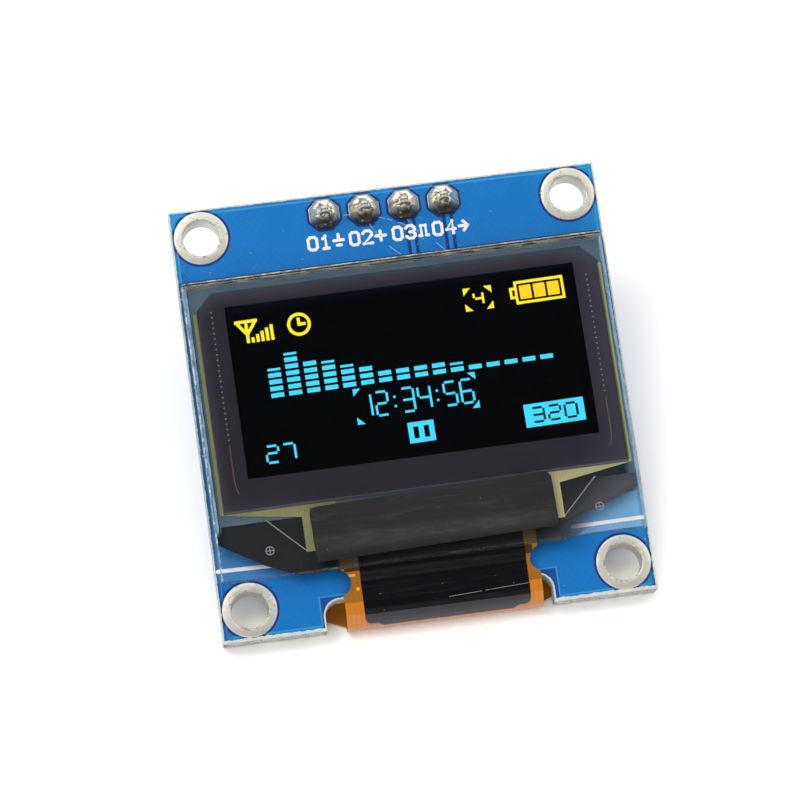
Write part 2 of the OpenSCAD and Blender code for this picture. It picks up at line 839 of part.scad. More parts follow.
module ledge_film() {
    side_x = glass_w / 2 - film_margin;
    top = cap_low - trace_t;
    side_low = top - film_side_h;
    mid = [glass_w / 2 - film_mid_inset, glass_low + film_mid_y];
    low_x = glass_w / 2 - film_low_inset;
    window_w = neck_w + 2 * (neck_x + film_gap);
    color("#1a1a1c")
        on_display()
            plate(glass_z - trace_t - film_t, film_t)
                difference() {
                    polygon([[-side_x, top], [side_x, top], [side_x, side_low], mid,
                             [low_x, glass_low], [-low_x, glass_low], [-mid.x, mid.y],
                             [-side_x, side_low]]);
                    column(0, window_w, glass_low - cut, top - chip_gap / 2);
                }
}

module shield_tape() {
    flat = shield_w - 2 * shield_r;
    color("#303032")
        on_display()
            translate([shield_x, polariser_low - shield_gap - shield_h / 2])
                rotate(shield_turn)
                    plate(glass_top_z, shield_t) {
                        square([flat, shield_h], center = true);
                        column(0, shield_w, -shield_h / 2, shield_h / 2 - shield_r);
                        for (side = [-1, 1])
                            translate([side * flat / 2, shield_h / 2 - shield_r]) circle(shield_r);
                    }
}

module driver_chip() {
    color("#202022")
        on_display()
            plate(glass_z - chip_t, chip_t)
                column(0, chip_w, cap_low - chip_gap - chip_h, cap_low - chip_gap);
}

// ---- Flex tail ------------------------------------------------------------------

// Section through the folded sheet, drawn with Y to the right and Z up. The two
// offsets are counted outwards from the sheet's inner face.
module fold_section(inner, outer) {
    bond_top = glass_low_y + bond_len;
    bend_y = glass_low_y - bend_len;
    near = bend_r - flex_t / 2;
    far = bend_r + flex_t / 2;
    face_z = glass_z - flex_t;
    run_z = board_t + fold_gap;
    high = [glass_low_y, face_z - near];
    low = [bend_y, run_z + far];
    span(glass_low_y, face_z + inner, bond_top, face_z + outer);
    polygon(concat(arc_points(high, near + outer, 90, 90 + bend_a),
                   arc_points(low, far - outer, 270 + bend_a, 270),
                   arc_points(low, far - inner, 270, 270 + bend_a),
                   arc_points(high, near + inner, 90 + bend_a, 90)));
    span(fold_out_y + fold_top_r, run_z + inner, bend_y, run_z + outer);
    translate([fold_out_y + fold_top_r, fold_z])
        ring_part(fold_top_r - flex_t + inner, fold_top_r - flex_t + outer, 90, 180);
    translate([fold_out_y + fold_low_r, fold_z])
        ring_part(fold_low_r - flex_t + inner, fold_low_r - flex_t + outer, 180, 270);
    span(fold_out_y + fold_low_r, -outer, tail_top_y, -inner);
}

module folded_sheet(inner, outer) {
    rotate([90, 0, 90])
        linear_extrude(2 * tail_w, center = true)
            fold_section(inner, outer);
}

// Round bite out of the right edge of the neck, with round lips
module relief() {
    bite_x = neck_w / 2 + relief_r - relief_d;
    bite_y = glass_low_y - relief_y;
    lip_x = neck_w / 2 - relief_fillet;
    lip_y = sqrt(pow(relief_r + relief_fillet, 2) - pow(bite_x - lip_x, 2));
    translate([0, bite_y]) {
        translate([bite_x, 0]) circle(relief_r);
        difference() {
            polygon([[bite_x, 0], [lip_x, lip_y], [bite_x, lip_y], [bite_x, -lip_y],
                     [lip_x, -lip_y]]);
            for (side = [-1, 1]) translate([lip_x, side * lip_y]) circle(relief_fillet);
        }
    }
}

module neck_outline() {
    translate([neck_x, 0])
        difference() {
            column(0, neck_w, fold_out_y - cut, glass_low_y + bond_len + cut);
            both_sides() relief();
        }
}

module tail_outline() {
    start_y = fold_out_y + shoulder_y;
    tail_x = tail_w / 2;
    shoulder_h = (tail_x - neck_w / 2) * tan(shoulder_a);
    translate([neck_x, 0]) {
        column(0, neck_w, fold_out_y - cut, start_y);
        polygon([[-neck_w / 2, start_y], [neck_w / 2, start_y], [tail_x, start_y + shoulder_h],
                 [tail_x, tail_top_y + cut], [-tail_x, tail_top_y + cut],
                 [-tail_x, start_y + shoulder_h]]);
    }
}

module flex_tail() {
    color("orange")
        intersection() {
            folded_sheet(0, flex_t);
            union() {
                plate(fold_z, glass_z - fold_z) neck_outline();
                plate(-flex_t, fold_z + flex_t) tail_outline();
            }
        }
}

module flex_cover() {
    low = fold_out_y + cover_end;
    top = glass_low_y - cover_gap;
    cover_w = neck_w - cover_left - cover_right;
    cover_x = neck_x + (cover_left - cover_right) / 2;
    color("#151518")
        intersection() {
            folded_sheet(flex_t, flex_t + cover_t);
            plate(fold_z, glass_top_z - fold_z)
                translate([cover_x, 0]) {
                    column(0, cover_w, low + cover_r, top);
                    column(0, cover_w - 2 * cover_r, low, top);
                    for (side = [-1, 1])
                        translate([side * (cover_w / 2 - cover_r), low + cover_r]) circle(cover_r);
                }
        }
}

module contact() {
    r = contact_w / 2;
    low = tail_top_y - contact_len;
    top = tail_top_y + contact_past;
    difference() {
        union() {
            translate([0, low, -flex_t])
                rotate([-90, 0, 0]) cylinder(r = r, h = top - low);
            for (y = [low, top]) translate([0, y, -flex_t]) sphere(r);
            translate([-r, tail_top_y, -flex_t]) cube([contact_w, contact_past, flex_t]);
        }
        translate([-contact_w, low - contact_w, -flex_t])
            cube([2 * contact_w, tail_top_y - low + contact_w, contact_w + flex_t]);
        translate([-contact_w, low - contact_w, 0])
            cube([2 * contact_w, top - low + 2 * contact_w, contact_w]);
    }
}

module flex_solder() {
    middle = (contact_count + 1) / 2;
    color("silver")
        for (i = [1:contact_count])
            translate([neck_x + (i - middle) * contact_pitch, 0, 0]) contact();
}

// ---- Parts on the back ------------------------------------------------------------

module chip_block(h) {
    translate([-chip_part_l / 2 + end_t, -chip_part_w / 2 + end_t, end_t])
        cube([chip_part_l - 2 * end_t, chip_part_w - 2 * end_t, h - 2 * end_t]);
}

module chip_ends(h) {
    difference() {
        both_sides()
            translate([chip_part_l / 2 - end_l, -chip_part_w / 2, 0])
                cube([end_l, chip_part_w, h]);
        chip_block(h);
    }
}

module capacitor(i) {
    color("tan") on_back(capacitor_places[i - 1], 90) chip_block(capacitor_h);
}

module capacitor_ends(i) {
    color("silver") on_back(capacitor_places[i - 1], 90) chip_ends(capacitor_h);
}

module resistor(i) {
    color("black") on_back(resistor_places[i - 1], 90) chip_block(resistor_h);
}

module resistor_ends(i) {
    color("silver") on_back(resistor_places[i - 1], 90) chip_ends(resistor_h);
}

// Body whose four sides slope away from the parting line at half height
module moulded_body(l, w) {
    intersection() {
        rotate([90, 0, 0]) linear_extrude(2 * w, center = true) moulded_side(l);
        rotate([90, 0, 90]) linear_extrude(2 * l, center = true) moulded_side(w);
    }
}

module moulded_side(size) {
    low = moulded_gap;
    top = moulded_gap + moulded_h;
    parting = (low + top) / 2;
    slope = moulded_h / 2 * tan(moulded_draft);
    polygon([[slope - size / 2, low], [size / 2 - slope, low], [size / 2, parting],
             [size / 2 - slope, top], [slope - size / 2, top], [-size / 2, parting]]);
}

// Gull-wing lead, pointing along +X from the side of a body
module lead(side_x, w) {
    out_r = lead_r + lead_t;
    exit_z = moulded_gap + moulded_h / 2 - lead_t / 2;
    bend_x = side_x + lead_exit;
    drop_x = bend_x + out_r;
    foot_x = side_x + lead_reach;
    rotate([90, 0, 0])
        linear_extrude(w, center = true) {
            span(side_x, exit_z, bend_x, exit_z + lead_t);
            translate([bend_x, exit_z - lead_r]) ring_part(lead_r, out_r, 0, 90);
            span(drop_x - lead_t, out_r, drop_x, exit_z - lead_r);
            translate([drop_x + lead_r, out_r]) ring_part(lead_r, out_r, 180, 270);
            span(drop_x + lead_r, 0, foot_x + lead_t, lead_t);
        }
}

module regulator_body() {
    color("#222224") on_back(regulator_place, 90) moulded_body(regulator_l, regulator_w);
}

// Two leads on one long side and one on the other
module regulator_leads() {
    color("silver")
        on_back(regulator_place, 90) {
            rotate(90) lead(regulator_w / 2, lead_w);
            for (side = [-1, 1])
                translate([side * lead_pitch / 2, 0, 0]) rotate(-90) lead(regulator_w / 2, lead_w);
        }
}

module diode_body() {
    color("#222224") on_back(diode_place) moulded_body(diode_l, diode_w);
}

module diode_leads() {
    color("silver")
        on_back(diode_place) {
            lead(diode_l / 2, diode_lead_w);
            rotate(180) lead(diode_l / 2, diode_lead_w);
        }
}

// Hollow fillet that climbs metal standing at x = 0 and runs out along +X
module fillet(w, h = fillet_r) {
    size = min(fillet_r, h);
    rotate([90, 0, 0])
        linear_extrude(w, center = true)
            difference() {
                square(size);
                translate([size, size]) circle(size);
            }
}

module chip_fillets(h) {
    for (turn = [0, 180])
        rotate(turn) translate([chip_part_l / 2, 0, 0]) fillet(fillet_w, h);
}

module component_solder() {
    color("silver") {
        for (place = capacitor_places) on_back(place, 90) chip_fillets(capacitor_h);
        for (place = resistor_places) on_back(place, 90) chip_fillets(resistor_h);
        on_back(diode_place)
            for (turn = [0, 180])
                rotate(turn)
                    translate([diode_l / 2 + lead_reach + lead_t, 0, 0])
                        fillet(diode_lead_w, lead_t);
        on_back(regulator_place, 90) {
            translate([0, regulator_w / 2 + lead_reach + lead_t, 0])
                rotate(90) fillet(lead_w, lead_t);
            for (side = [-1, 1])
                translate([side * lead_pitch / 2, -regulator_w / 2 - lead_reach - lead_t, 0])
                    rotate(-90) fillet(lead_w, lead_t);
        }
    }
}

// ---- The model ----------------------------------------------------------------------

circuit_board();
for (i = [1:4]) hole_plating(i);
for (i = [1:pin_count]) {
    pin_pad(i);
    solder_joint(i);
    header_pin(i);
}
header_strip();
mounting_tape();
cap_glass();
getter_sheet();
seal_frame();
pixel_layer();
yellow_pixels();
blue_pixels();
front_glass();
polariser();
electrode_traces();
ledge_film();
shield_tape();
driver_chip();
flex_tail();
flex_cover();
flex_solder();
regulator_body();
regulator_leads();
diode_body();
diode_leads();
for (i = [1:len(capacitor_places)]) {
    capacitor(i);
    capacitor_ends(i);
}
for (i = [1:len(resistor_places)]) {
    resistor(i);
    resistor_ends(i);
}
component_solder();
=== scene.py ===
import math

import bmesh
import bpy
from mathutils import Matrix, Vector


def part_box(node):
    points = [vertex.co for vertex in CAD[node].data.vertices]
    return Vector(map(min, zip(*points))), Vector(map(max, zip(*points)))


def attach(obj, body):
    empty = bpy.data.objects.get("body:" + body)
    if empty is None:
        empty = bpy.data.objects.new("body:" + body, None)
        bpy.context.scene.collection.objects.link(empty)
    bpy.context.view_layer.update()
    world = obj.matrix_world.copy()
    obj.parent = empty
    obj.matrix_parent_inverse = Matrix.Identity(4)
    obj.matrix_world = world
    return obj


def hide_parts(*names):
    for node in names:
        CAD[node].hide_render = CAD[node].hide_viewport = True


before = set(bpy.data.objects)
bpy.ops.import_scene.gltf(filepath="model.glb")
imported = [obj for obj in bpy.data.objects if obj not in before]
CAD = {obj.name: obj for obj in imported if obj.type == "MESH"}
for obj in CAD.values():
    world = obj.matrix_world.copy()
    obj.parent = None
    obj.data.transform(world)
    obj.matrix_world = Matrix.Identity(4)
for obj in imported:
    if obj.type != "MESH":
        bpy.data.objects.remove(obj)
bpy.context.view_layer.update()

MM = 0.001
scene = bpy.context.scene


def placed(name, data):
    """New object in the scene."""
    piece = bpy.data.objects.new(name, data)
    scene.collection.objects.link(piece)
    return piece


def span_of(node):
    """Lowest and highest corner of a CAD node, in millimetres."""
    low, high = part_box(node)
    return low / MM, high / MM


board_low, board_high = span_of("circuit_board")
glass_low, glass_high = span_of("front_glass")
lit_low, lit_high = span_of("pixel_layer")
cover_low, cover_high = span_of("flex_cover")
ring_low, ring_high = span_of("hole_plating_1")

face_z = board_high.z
hole_x = abs(ring_low.x + ring_high.x) / 2
hole_y = abs(ring_low.y + ring_high.y) / 2
pin_centres = [(span_of(f"header_pin_{i}")[0] + span_of(f"header_pin_{i}")[1]) / 2
               for i in range(1, 5)]
pin_y = pin_centres[0].y
pin_pitch = pin_centres[1].x - pin_centres[0].x
display_turn = math.radians(0.4)
picture_turn = math.radians(1.15)
display_y = (glass_low.y + glass_high.y) / 2
lit_centre = (lit_low + lit_high) / 2
lit_step = 0.172

# The flex: its neck, the black cover on the neck, the fold, and the marks printed on them
cover_inset_left, cover_inset_right = 1.16, 0.8
neck_left = cover_low.x - cover_inset_left
neck_right = cover_high.x + cover_inset_right
neck_middle = (neck_left + neck_right) / 2
neck_half = (neck_right - neck_left) / 2
cover_middle = (cover_low.x + cover_high.x) / 2
cover_half = (cover_high.x - cover_low.x) / 2
fold_y = board_low.y + 0.66
cover_fold_y = board_low.y + 0.6
cover_end_y = board_low.y + 0.3
copper_pitch = 0.31
hatch_pitch = 0.13
lower_neck_y = -12.5
test_dot_inset, test_dot_y = 0.23, -11.62
test_pill_inset, test_pill_y = 0.52, -10.78
scratch_y, scratch_slope = -12.86, 0.045


def true_size(low, high):
    """Half width and half height of a display piece, from the box round its turned outline."""
    wide, tall = (high.x - low.x) / 2, (high.y - low.y) / 2
    c, s, both = math.cos(display_turn), math.sin(display_turn), math.cos(2 * display_turn)
    return (wide * c - tall * s) / both, (tall * c - wide * s) / both


def on_glass(u, v):
    """Place on the board of a point that is given from the middle of the front glass."""
    c, s = math.cos(display_turn), math.sin(display_turn)
    return u * c - v * s, display_y + u * s + v * c


glass_half_w, glass_half_h = true_size(glass_low, glass_high)

# ---- Shader tools -------------------------------------------------------------


def away(x, y):
    """Distance of a place from the origin."""
    return (x * x + y * y).root()


def tint(red, green, blue):
    """Linear colour of a swatch that is given in steps from 0 to 255."""
    linear = []
    for step in (red, green, blue):
        part = step / 255
        linear.append(part / 12.92 if part <= 0.04045 else ((part + 0.055) / 1.055) ** 2.4)
    return (*linear, 1.0)


def add_node(tree, kind, settings, values):
    """Adds one node: its settings first, then the values or links of its sockets.

    A list links several sources to one socket."""
    node = tree.nodes.new(kind)
    for label, setting in (settings or {}).items():
        setattr(node, label, setting)
    for key, value in (values or {}).items():
        for source in value if isinstance(value, list) else [value]:
            source = source.socket if isinstance(source, Value) else source
            if isinstance(source, bpy.types.NodeSocket):
                tree.links.new(source, node.inputs[key])
            else:
                node.inputs[key].default_value = source
    return node


class Value:
    """Output of a shader node that takes part in sums."""

    def __init__(self, shading, socket):
        self.shading = shading
        self.socket = socket

    def maths(self, operation, *terms):
        return self.shading.node("ShaderNodeMath", {"operation": operation},
                                 dict(enumerate(terms)))

    def __add__(self, other):
        return self.maths("ADD", self, other)

    def __radd__(self, other):
        return self.maths("ADD", other, self)

    def __sub__(self, other):
        return self.maths("SUBTRACT", self, other)

    def __rsub__(self, other):
        return self.maths("SUBTRACT", other, self)

    def __mul__(self, other):
        return self.maths("MULTIPLY", self, other)

    def __rmul__(self, other):
        return self.maths("MULTIPLY", other, self)

    def __truediv__(self, other):
        return self.maths("DIVIDE", self, other)

    def __rtruediv__(self, other):
        return self.maths("DIVIDE", other, self)

    def __neg__(self):
        return self.maths("MULTIPLY", self, -1.0)

    def __abs__(self):
        return self.maths("ABSOLUTE", self)

    def over(self, limit):
        return self.maths("GREATER_THAN", self, limit)

    def under(self, limit):
        return self.maths("LESS_THAN", self, limit)

    def most(self, other):
        return self.maths("MAXIMUM", self, other)

    def least(self, other):
        return self.maths("MINIMUM", self, other)

    def root(self):
        return self.maths("SQRT", self)

    def cosine(self):
        return self.maths("COSINE", self)

    def wrapped(self, low, high):
        return self.maths("WRAP", self, high, low)


class Shading:
    """Node tree of a material or of the surroundings."""

    def __init__(self, tree):
        self.tree = tree
        self.tree.nodes.clear()

    def node(self, kind, settings=None, values=None, output=0):
        """One node's output as a value, or nothing for the tree's own output."""
        node = add_node(self.tree, kind, settings, values)
        return Value(self, node.outputs[output]) if node.outputs else None

    def rays(self, *kinds):
        """1 for a ray of each of those kinds and 0 for the others."""
        outputs = self.node("ShaderNodeLightPath").socket.node.outputs
        return [Value(self, outputs[f"Is {kind} Ray"]) for kind in kinds]

    def parts(self, vector):
        split = self.node("ShaderNodeSeparateXYZ", None, {0: vector})
        outputs = split.socket.node.outputs
        return [Value(self, outputs[i]) for i in range(3)]

    def mix(self, factor, first, second):
        """Colour between two colours, each a value or a swatch."""
        first, second = (tint(*c) if isinstance(c, tuple) else c for c in (first, second))
        return self.node("ShaderNodeMix", {"data_type": "RGBA", "clamp_factor": True},
                         {0: factor, 6: first, 7: second}, 2)

    def layered(self, colour, *layers):
        """Colour with further ones laid over it, each given as its share and its swatch."""
        for share, swatch in layers:
            colour = self.mix(share, colour, swatch)
        return colour

    def ease(self, value, low, high):
        """0 below low, 1 above high, and smooth between."""
        return self.node("ShaderNodeMapRange", {"interpolation_type": "SMOOTHSTEP"},
                         {0: value, 1: low, 2: high, 3: 0.0, 4: 1.0})

    def fade(self, value, low, high):
        """1 below low, 0 above high, and smooth between."""
        return 1 - self.ease(value, low, high)

    def band(self, value, low, high, soft=0.03):
        """1 between low and high, with soft sides."""
        return self.ease(value, low - soft, low) * self.fade(value, high, high + soft)


class Finish(Shading):
    """Material of one finish, with its coordinates in millimetres."""

    def __init__(self, name, **fixed):
        self.material = bpy.data.materials.new(name)
        self.material.use_nodes = True
        super().__init__(self.material.node_tree)
        constants = {label.replace("_", " "): value for label, value in fixed.items()}
        self.surface = self.node("ShaderNodeBsdfPrincipled", None, constants)
        self.node("ShaderNodeOutputMaterial", None, {"Surface": self.surface})
        place = self.node("ShaderNodeTexCoord", None, None, "Object")
        self.place = self.node("ShaderNodeVectorMath", {"operation": "SCALE"},
                               {0: place, "Scale": 1 / MM})
        self.x, self.y, self.z = self.parts(self.place)

    def feed(self, label, value):
        self.tree.links.new(value.socket, self.surface.socket.node.inputs[label])

    def noise(self, scale, detail=2.0, roughness=0.5, stretch=None, warp=0.0):
        """Cloudy value from 0 to 1, with its scale in clouds for each millimetre."""
        place = self.place
        if stretch:
            place = self.node("ShaderNodeVectorMath", {"operation": "MULTIPLY"},
                              {0: place, 1: stretch})
        return self.node("ShaderNodeTexNoise", None,
                         {"Vector": place, "Scale": scale, "Detail": detail,
                          "Roughness": roughness, "Distortion": warp})

    def specks(self, scale, size):
        """1 inside scattered small spots and 0 outside them."""
        distance = self.node("ShaderNodeTexVoronoi", None, {"Vector": self.place, "Scale": scale})
        return self.fade(distance, size * 0.6, size)

    def drifts(self, scale, size, cloud_scale, least):
        """Specks that lie in loose drifts."""
        return self.specks(scale, size) * self.noise(cloud_scale).over(least)

    def bump(self, height, depth):
        """Feeds the normal with a relief of that depth in millimetres."""
        self.feed("Normal", self.node("ShaderNodeBump", None,
                                      {"Strength": 1.0, "Distance": depth * MM,
                                       "Height": height}))

    def from_hole(self):
        """Distance from the axis of the nearest mounting hole."""
        return away(abs(self.x) - hole_x, abs(self.y) - hole_y)

    def upright(self, low=0.9, high=0.985):
        """1 on the faces that stand upright and 0 on the level ones."""
        normal = self.node("ShaderNodeNewGeometry", None, None, "Normal")
        return self.fade(abs(self.parts(normal)[2]), low, high)

    def display_place(self, centre_x=0.0, centre_y=display_y, turn=display_turn):
        """Place on the display, from the middle of the front glass or another centre."""
        c, s = math.cos(turn), math.sin(turn)
        x = self.x - centre_x
        y = self.y - centre_y
        return x * c + y * s, y * c - x * s

    def picture_place(self):
        """Place in the lit picture, from its middle."""
        return self.display_place(lit_centre.x, lit_centre.y, picture_turn)


def material(**fixed):
    """Turns a function that lays a finish on a material into that material."""
    def made(lay):
        f = Finish(lay.__name__, **fixed)
        lay(f)
        return f.material
    return made


# ---- Finishes -----------------------------------------------------------------

notch_half, notch_depth, notch_r = 7.15, 1.85, 1.0
pour_gap, pour_notch_half, pour_notch_x, pour_notch_y = 0.32, 7.45, 0.06, -11.78
ring_clear_r, pad_clear_r, clear_soft = 1.83, 1.08, 0.08
front_tracks, track_half, track_gap_half, track_soft = (1.54, 3.95), 0.1, 0.33, 0.04
glass_shadow_from, glass_shadow_to = 0.29, 0.4
weave_x, weave_y = 0.55, 0.62


@material(Specular_IOR_Level=0.3)
def board_mask(f):
    """Blue solder mask over copper on both faces, and bare glass-fibre laminate on the edges."""
    x, y, z = f.x, f.y, f.z
    edge_x, edge_y = board_high.x, board_high.y
    side_gap = edge_x - abs(x)
    end_gap = edge_y - abs(y)
    notch_x = (abs(x) - (notch_half - notch_r)).most(0.0)
    notch_y = (y - (notch_depth - notch_r - edge_y)).most(0.0)
    from_notch = away(notch_x, notch_y) - notch_r
    to_edge = side_gap.least(end_gap).least(from_notch)
    pour_notch = (abs(x - pour_notch_x) - pour_notch_half).most(y - pour_notch_y)
    in_pour = (side_gap.least(end_gap) - pour_gap).least(pour_notch)
    outside_pour = f.fade(in_pour, -0.03, 0.03)
    # Painted highlight along the raised edge of the copper pour
    pour_edge_highlight = f.fade(abs(in_pour), 0.02, 0.07)
    beside_notch = f.fade(pour_notch, -0.05, 0.0)

    ring = f.from_hole()
    ring_clear = f.fade(ring, ring_clear_r, ring_clear_r + clear_soft)

    pad_u = abs((x / pin_pitch).wrapped(-1.0, 0.0) + 0.5) * pin_pitch
    pad_v = abs(y - pin_y)
    pad = pad_u.most(pad_v).most((pad_u + pad_v) * math.sqrt(0.5))
    in_row = abs(x).under(2 * pin_pitch)
    pad_clear = f.fade(pad, pad_clear_r, pad_clear_r + clear_soft) * in_row

    front = z.over(face_z / 2)
    above_glass = y.under(pin_y)
    clear = ring_clear.most(pad_clear)
    track = None
    for track_x in front_tracks:
        off = abs(x - track_x)
        gap = (f.fade(off, track_gap_half, track_gap_half + track_soft)
               * f.ease(off, track_half + 0.02, track_half + 0.02 + track_soft))
        clear = clear.most(gap * above_glass * front)
        line = f.fade(off, track_half, track_half + track_soft) * above_glass * front
        track = line if track is None else track.most(line)

    cloud = f.noise(0.35, 3.0, 0.6)
    weave = (x * (math.tau / weave_x)).cosine() * (y * (math.tau / weave_y)).cosine() * 0.5 + 0.5
    mask = f.mix(cloud, (0, 112, 190), (0, 128, 208))
    mask = f.mix(weave * 0.2, mask, (0, 104, 184))
    mottle = f.ease(f.noise(3.6, 3.0, 0.6), 0.42, 0.62) * f.fade(side_gap, 0.7, 1.0)
    mask = f.layered(mask, (mottle * 0.6, (0, 78, 158)),
                     (outside_pour * 0.6, (0, 138, 208)),
                     ((clear * 0.95).most(beside_notch * 0.75), (0, 46, 128)),
                     (track * 0.5, (30, 150, 220)),
                     (pour_edge_highlight * 0.35, (96, 190, 232)))
    corner = f.ease(abs(x) + y, 22.0, 27.0).most(f.ease(x, 11.6, 13.6) * 0.7) * front
    mask = f.mix(corner * 0.6 * (1 - clear), mask, (22, 158, 216))

    # Painted light and shade from the display glass on the board: a painted shadow line along the
    # glass's top edge, a painted whitish glare by the black film, and a painted shadow patch under
    # the glass's ledge
    u, v = f.display_place()
    glass_edge_shadow = f.band(v - glass_half_h, glass_shadow_from, glass_shadow_to)
    glass_edge_shadow = glass_edge_shadow * abs(u).under(glass_half_w)
    mask = f.mix(glass_edge_shadow * 0.7 * front, mask, (14, 40, 84))
    glare_on_board = v.over(-glass_half_h + 0.33) * f.fade(y, -7.2, -6.4) * front
    glare_on_board = glare_on_board * (f.ease(x, 5.6, 12.4) * 0.6 + f.ease(-x, 8.5, 10.5) * 0.14)
    grains = f.drifts(3.4, 0.2, 0.7, 0.44)
    glare_on_board = glare_on_board * (0.8 + f.noise(0.8, 3.0) * 0.4)
    mask = f.mix(glare_on_board.most(glare_on_board * grains * 1.8), mask, (160, 214, 246))
    shaded = f.band(v, -7.0, -5.3) * u.over(9.0) * f.fade(u, 12.8, 13.3) * front
    mask = f.mix(shaded * 0.8, mask, (10, 36, 66))

    marks = None
    for centre_x, centre_y, radius, side in ((4.6, 14.2, 6.2, -1), (9.5, 15.5, 9.0, -1),
                                            (-3.0, 4.0, 8.4, 1)):
        arc = abs(away(x - centre_x, y - centre_y) - radius)
        hair = f.fade(arc, 0.012, 0.04) * (y - 9.2).over(0.0) * f.noise(1.3).over(0.5)
        hair = hair * (x * side - side * centre_x).over(0.0)
        marks = hair if marks is None else marks.most(hair)
    dust = f.drifts(1.6, 0.07, 0.5, 0.48)
    scuffs = f.ease(f.noise(1.1, 4.0, 0.8, warp=2.0), 0.66, 0.72) * f.noise(0.3).over(0.5)
    mask = f.mix((marks * 0.5).most(dust * 0.45).most(scuffs * 0.22), mask, (190, 215, 235))

    side_strip = f.fade(side_gap, 0.26, 0.5) * y.under(9.2) * front
    chipped = f.drifts(3.2, 0.2, 0.8, 0.45)
    mask = f.layered(mask, (side_strip * 0.5, (8, 54, 116)),
                     (side_strip * chipped * 0.8, (206, 222, 232)))

    torn = f.noise(2.6, 4.0, 0.7)
    low_edge = (y + edge_y).least(20.0)
    bare_low = (low_edge - torn * 0.34).under(0.02)
    bare_side = (to_edge - torn * 0.16).under(0.03)
    bare = bare_low.most(bare_side)
    on_edge = 1 - (z - 0.04).under(0.0).most((z - (face_z - 0.04)).over(0.0))
    layers = f.noise(1.0, 3.0, 0.6, (1.2, 1.2, 9.0))
    laminate = f.mix(layers, (190, 193, 182), (240, 241, 233))
    fibres = f.noise(5.0, 3.0, 0.7)
    laminate = f.mix(f.ease(fibres, 0.52, 0.7) * 0.6, laminate, (252, 252, 248))
    crumbs = f.ease(f.noise(3.4, 4.0, 0.75), 0.5, 0.58) * f.fade(z, 0.8, 1.5)
    laminate = f.mix(crumbs * low_edge.under(0.3) * 0.75, laminate, (104, 98, 90))
    gouged = f.ease(f.noise(1.4, 4.0, 0.7, (1, 1, 1.6), 0.6), 0.48, 0.58)
    gouged = gouged * low_edge.under(0.3) * f.fade(z, 1.2, 1.6)
    laminate = f.mix(gouged * 0.75, laminate, (128, 125, 116))
    stripped = on_edge.most(bare)
    f.feed("Base Color", f.mix(stripped, mask, laminate))
    f.feed("Roughness", 0.34 + stripped * 0.42 + cloud * 0.08 + marks * 0.2)
    raised = (1 - outside_pour) * (1 - clear) * 0.7
    peel = f.noise(0.9, 2.0) * 0.14 + f.noise(4.0, 2.0) * 0.05
    f.bump((raised + peel) * (1 - stripped) + stripped * (fibres * 1.4 + torn * 0.8), 0.035)


@material(Metallic=0.7)
def tinned_rings(f):
    """Dull tinned copper of the rings round the mounting holes."""
    ring = f.from_hole()
    cloud = f.noise(0.9, 4.0, 0.65)
    pits = f.specks(3.2, 0.16)
    stain = f.ease(f.noise(0.7, 3.0, 0.6, warp=1.2), 0.5, 0.72)
    metal = f.mix(cloud, (222, 218, 204), (246, 244, 234))
    # The land is painted darker where it turns down into the barrel: painted shade in the hole's
    # mouth
    metal = f.layered(metal, (stain * 0.3, (190, 182, 160)),
                      (pits * 0.6, (136, 130, 116)),
                      (f.fade(ring, 1.16, 1.3) * 0.3, (160, 155, 150)),
                      (f.band(ring, 1.36, 1.58, 0.06) * 0.25, (192, 188, 170)))
    flecks = f.ease(f.noise(2.6, 3.0, 0.7), 0.53, 0.6) * f.band(ring, 1.17, 1.3)
    f.feed("Base Color", f.mix(flecks * 0.5, metal, (104, 100, 96)))
    f.feed("Roughness", 0.36 + cloud * 0.16 + stain * 0.12)
    grain = f.noise(6.0, 3.0, 0.6)
    f.bump(grain * 0.5 + cloud * 1.6 + pits * -1.4, 0.02)


def solder_finish(name, rough):
    """Bright solder with faint flow marks and specks of flux."""
    f = Finish(name, Metallic=1.0)
    cloud = f.noise(1.4, 3.0, 0.6)
    flow = f.noise(3.0, 3.0, 0.6, (1, 1, 2.4), 1.5)
    flux = f.specks(2.2, 0.12)
    metal = f.mix(cloud, (206, 198, 180), (240, 236, 224))
    f.feed("Base Color", f.mix(flux * 0.5, metal, (150, 132, 96)))
    f.feed("Roughness", rough + cloud * 0.08 + flux * 0.2)
    f.bump(flow * 0.7 + cloud, 0.008)
    return f.material


@material()
def pin_solder(f):
    """Bright solder drawn up each pin in rays, with painted dark shade on its lower side, a painted
    pale reflection on its outer flank and painted glints there.
    """
    off_x = ((f.x / pin_pitch).wrapped(-1.0, 0.0) + 0.5) * pin_pitch
    off_y = f.y - pin_y
    radius = away(off_x, off_y).most(0.01)
    ray = f.node("ShaderNodeCombineXYZ", None, {0: off_x / radius, 1: off_y / radius,
                                                2: f.x * 0.3})
    rays = f.node("ShaderNodeTexNoise", None, {"Vector": ray, "Scale": 2.6, "Detail": 3.0,
                                               "Roughness": 0.6})
    dark_rays = f.ease(rays, 0.5, 0.66) * f.ease(radius, 0.2, 0.4)
    # Painted dark shade on the lower side, a painted pale reflection on the outer flank, and
    # painted glints there
    lower = f.ease(-off_y - abs(off_x) * 0.15, 0.0, 0.62)
    metal = f.mix(dark_rays * 0.75, (252, 248, 232), (92, 78, 58))
    flank_reflection = f.ease(radius, 0.5, 0.8)
    metal = f.layered(metal, (flank_reflection * 0.45, (222, 212, 176)),
                      (lower * 0.93, (66, 52, 34)))
    glints = f.drifts(2.4, 0.2, 1.1, 0.44)
    f.feed("Base Color", f.mix(glints * flank_reflection * 0.8, metal, (240, 232, 204)))
    f.feed("Metallic", 1.0 - flank_reflection * 0.42)
    f.feed("Roughness", 0.13 + rays * 0.1)
    f.bump(rays + f.noise(1.6, 2.0) * 0.5, 0.012)


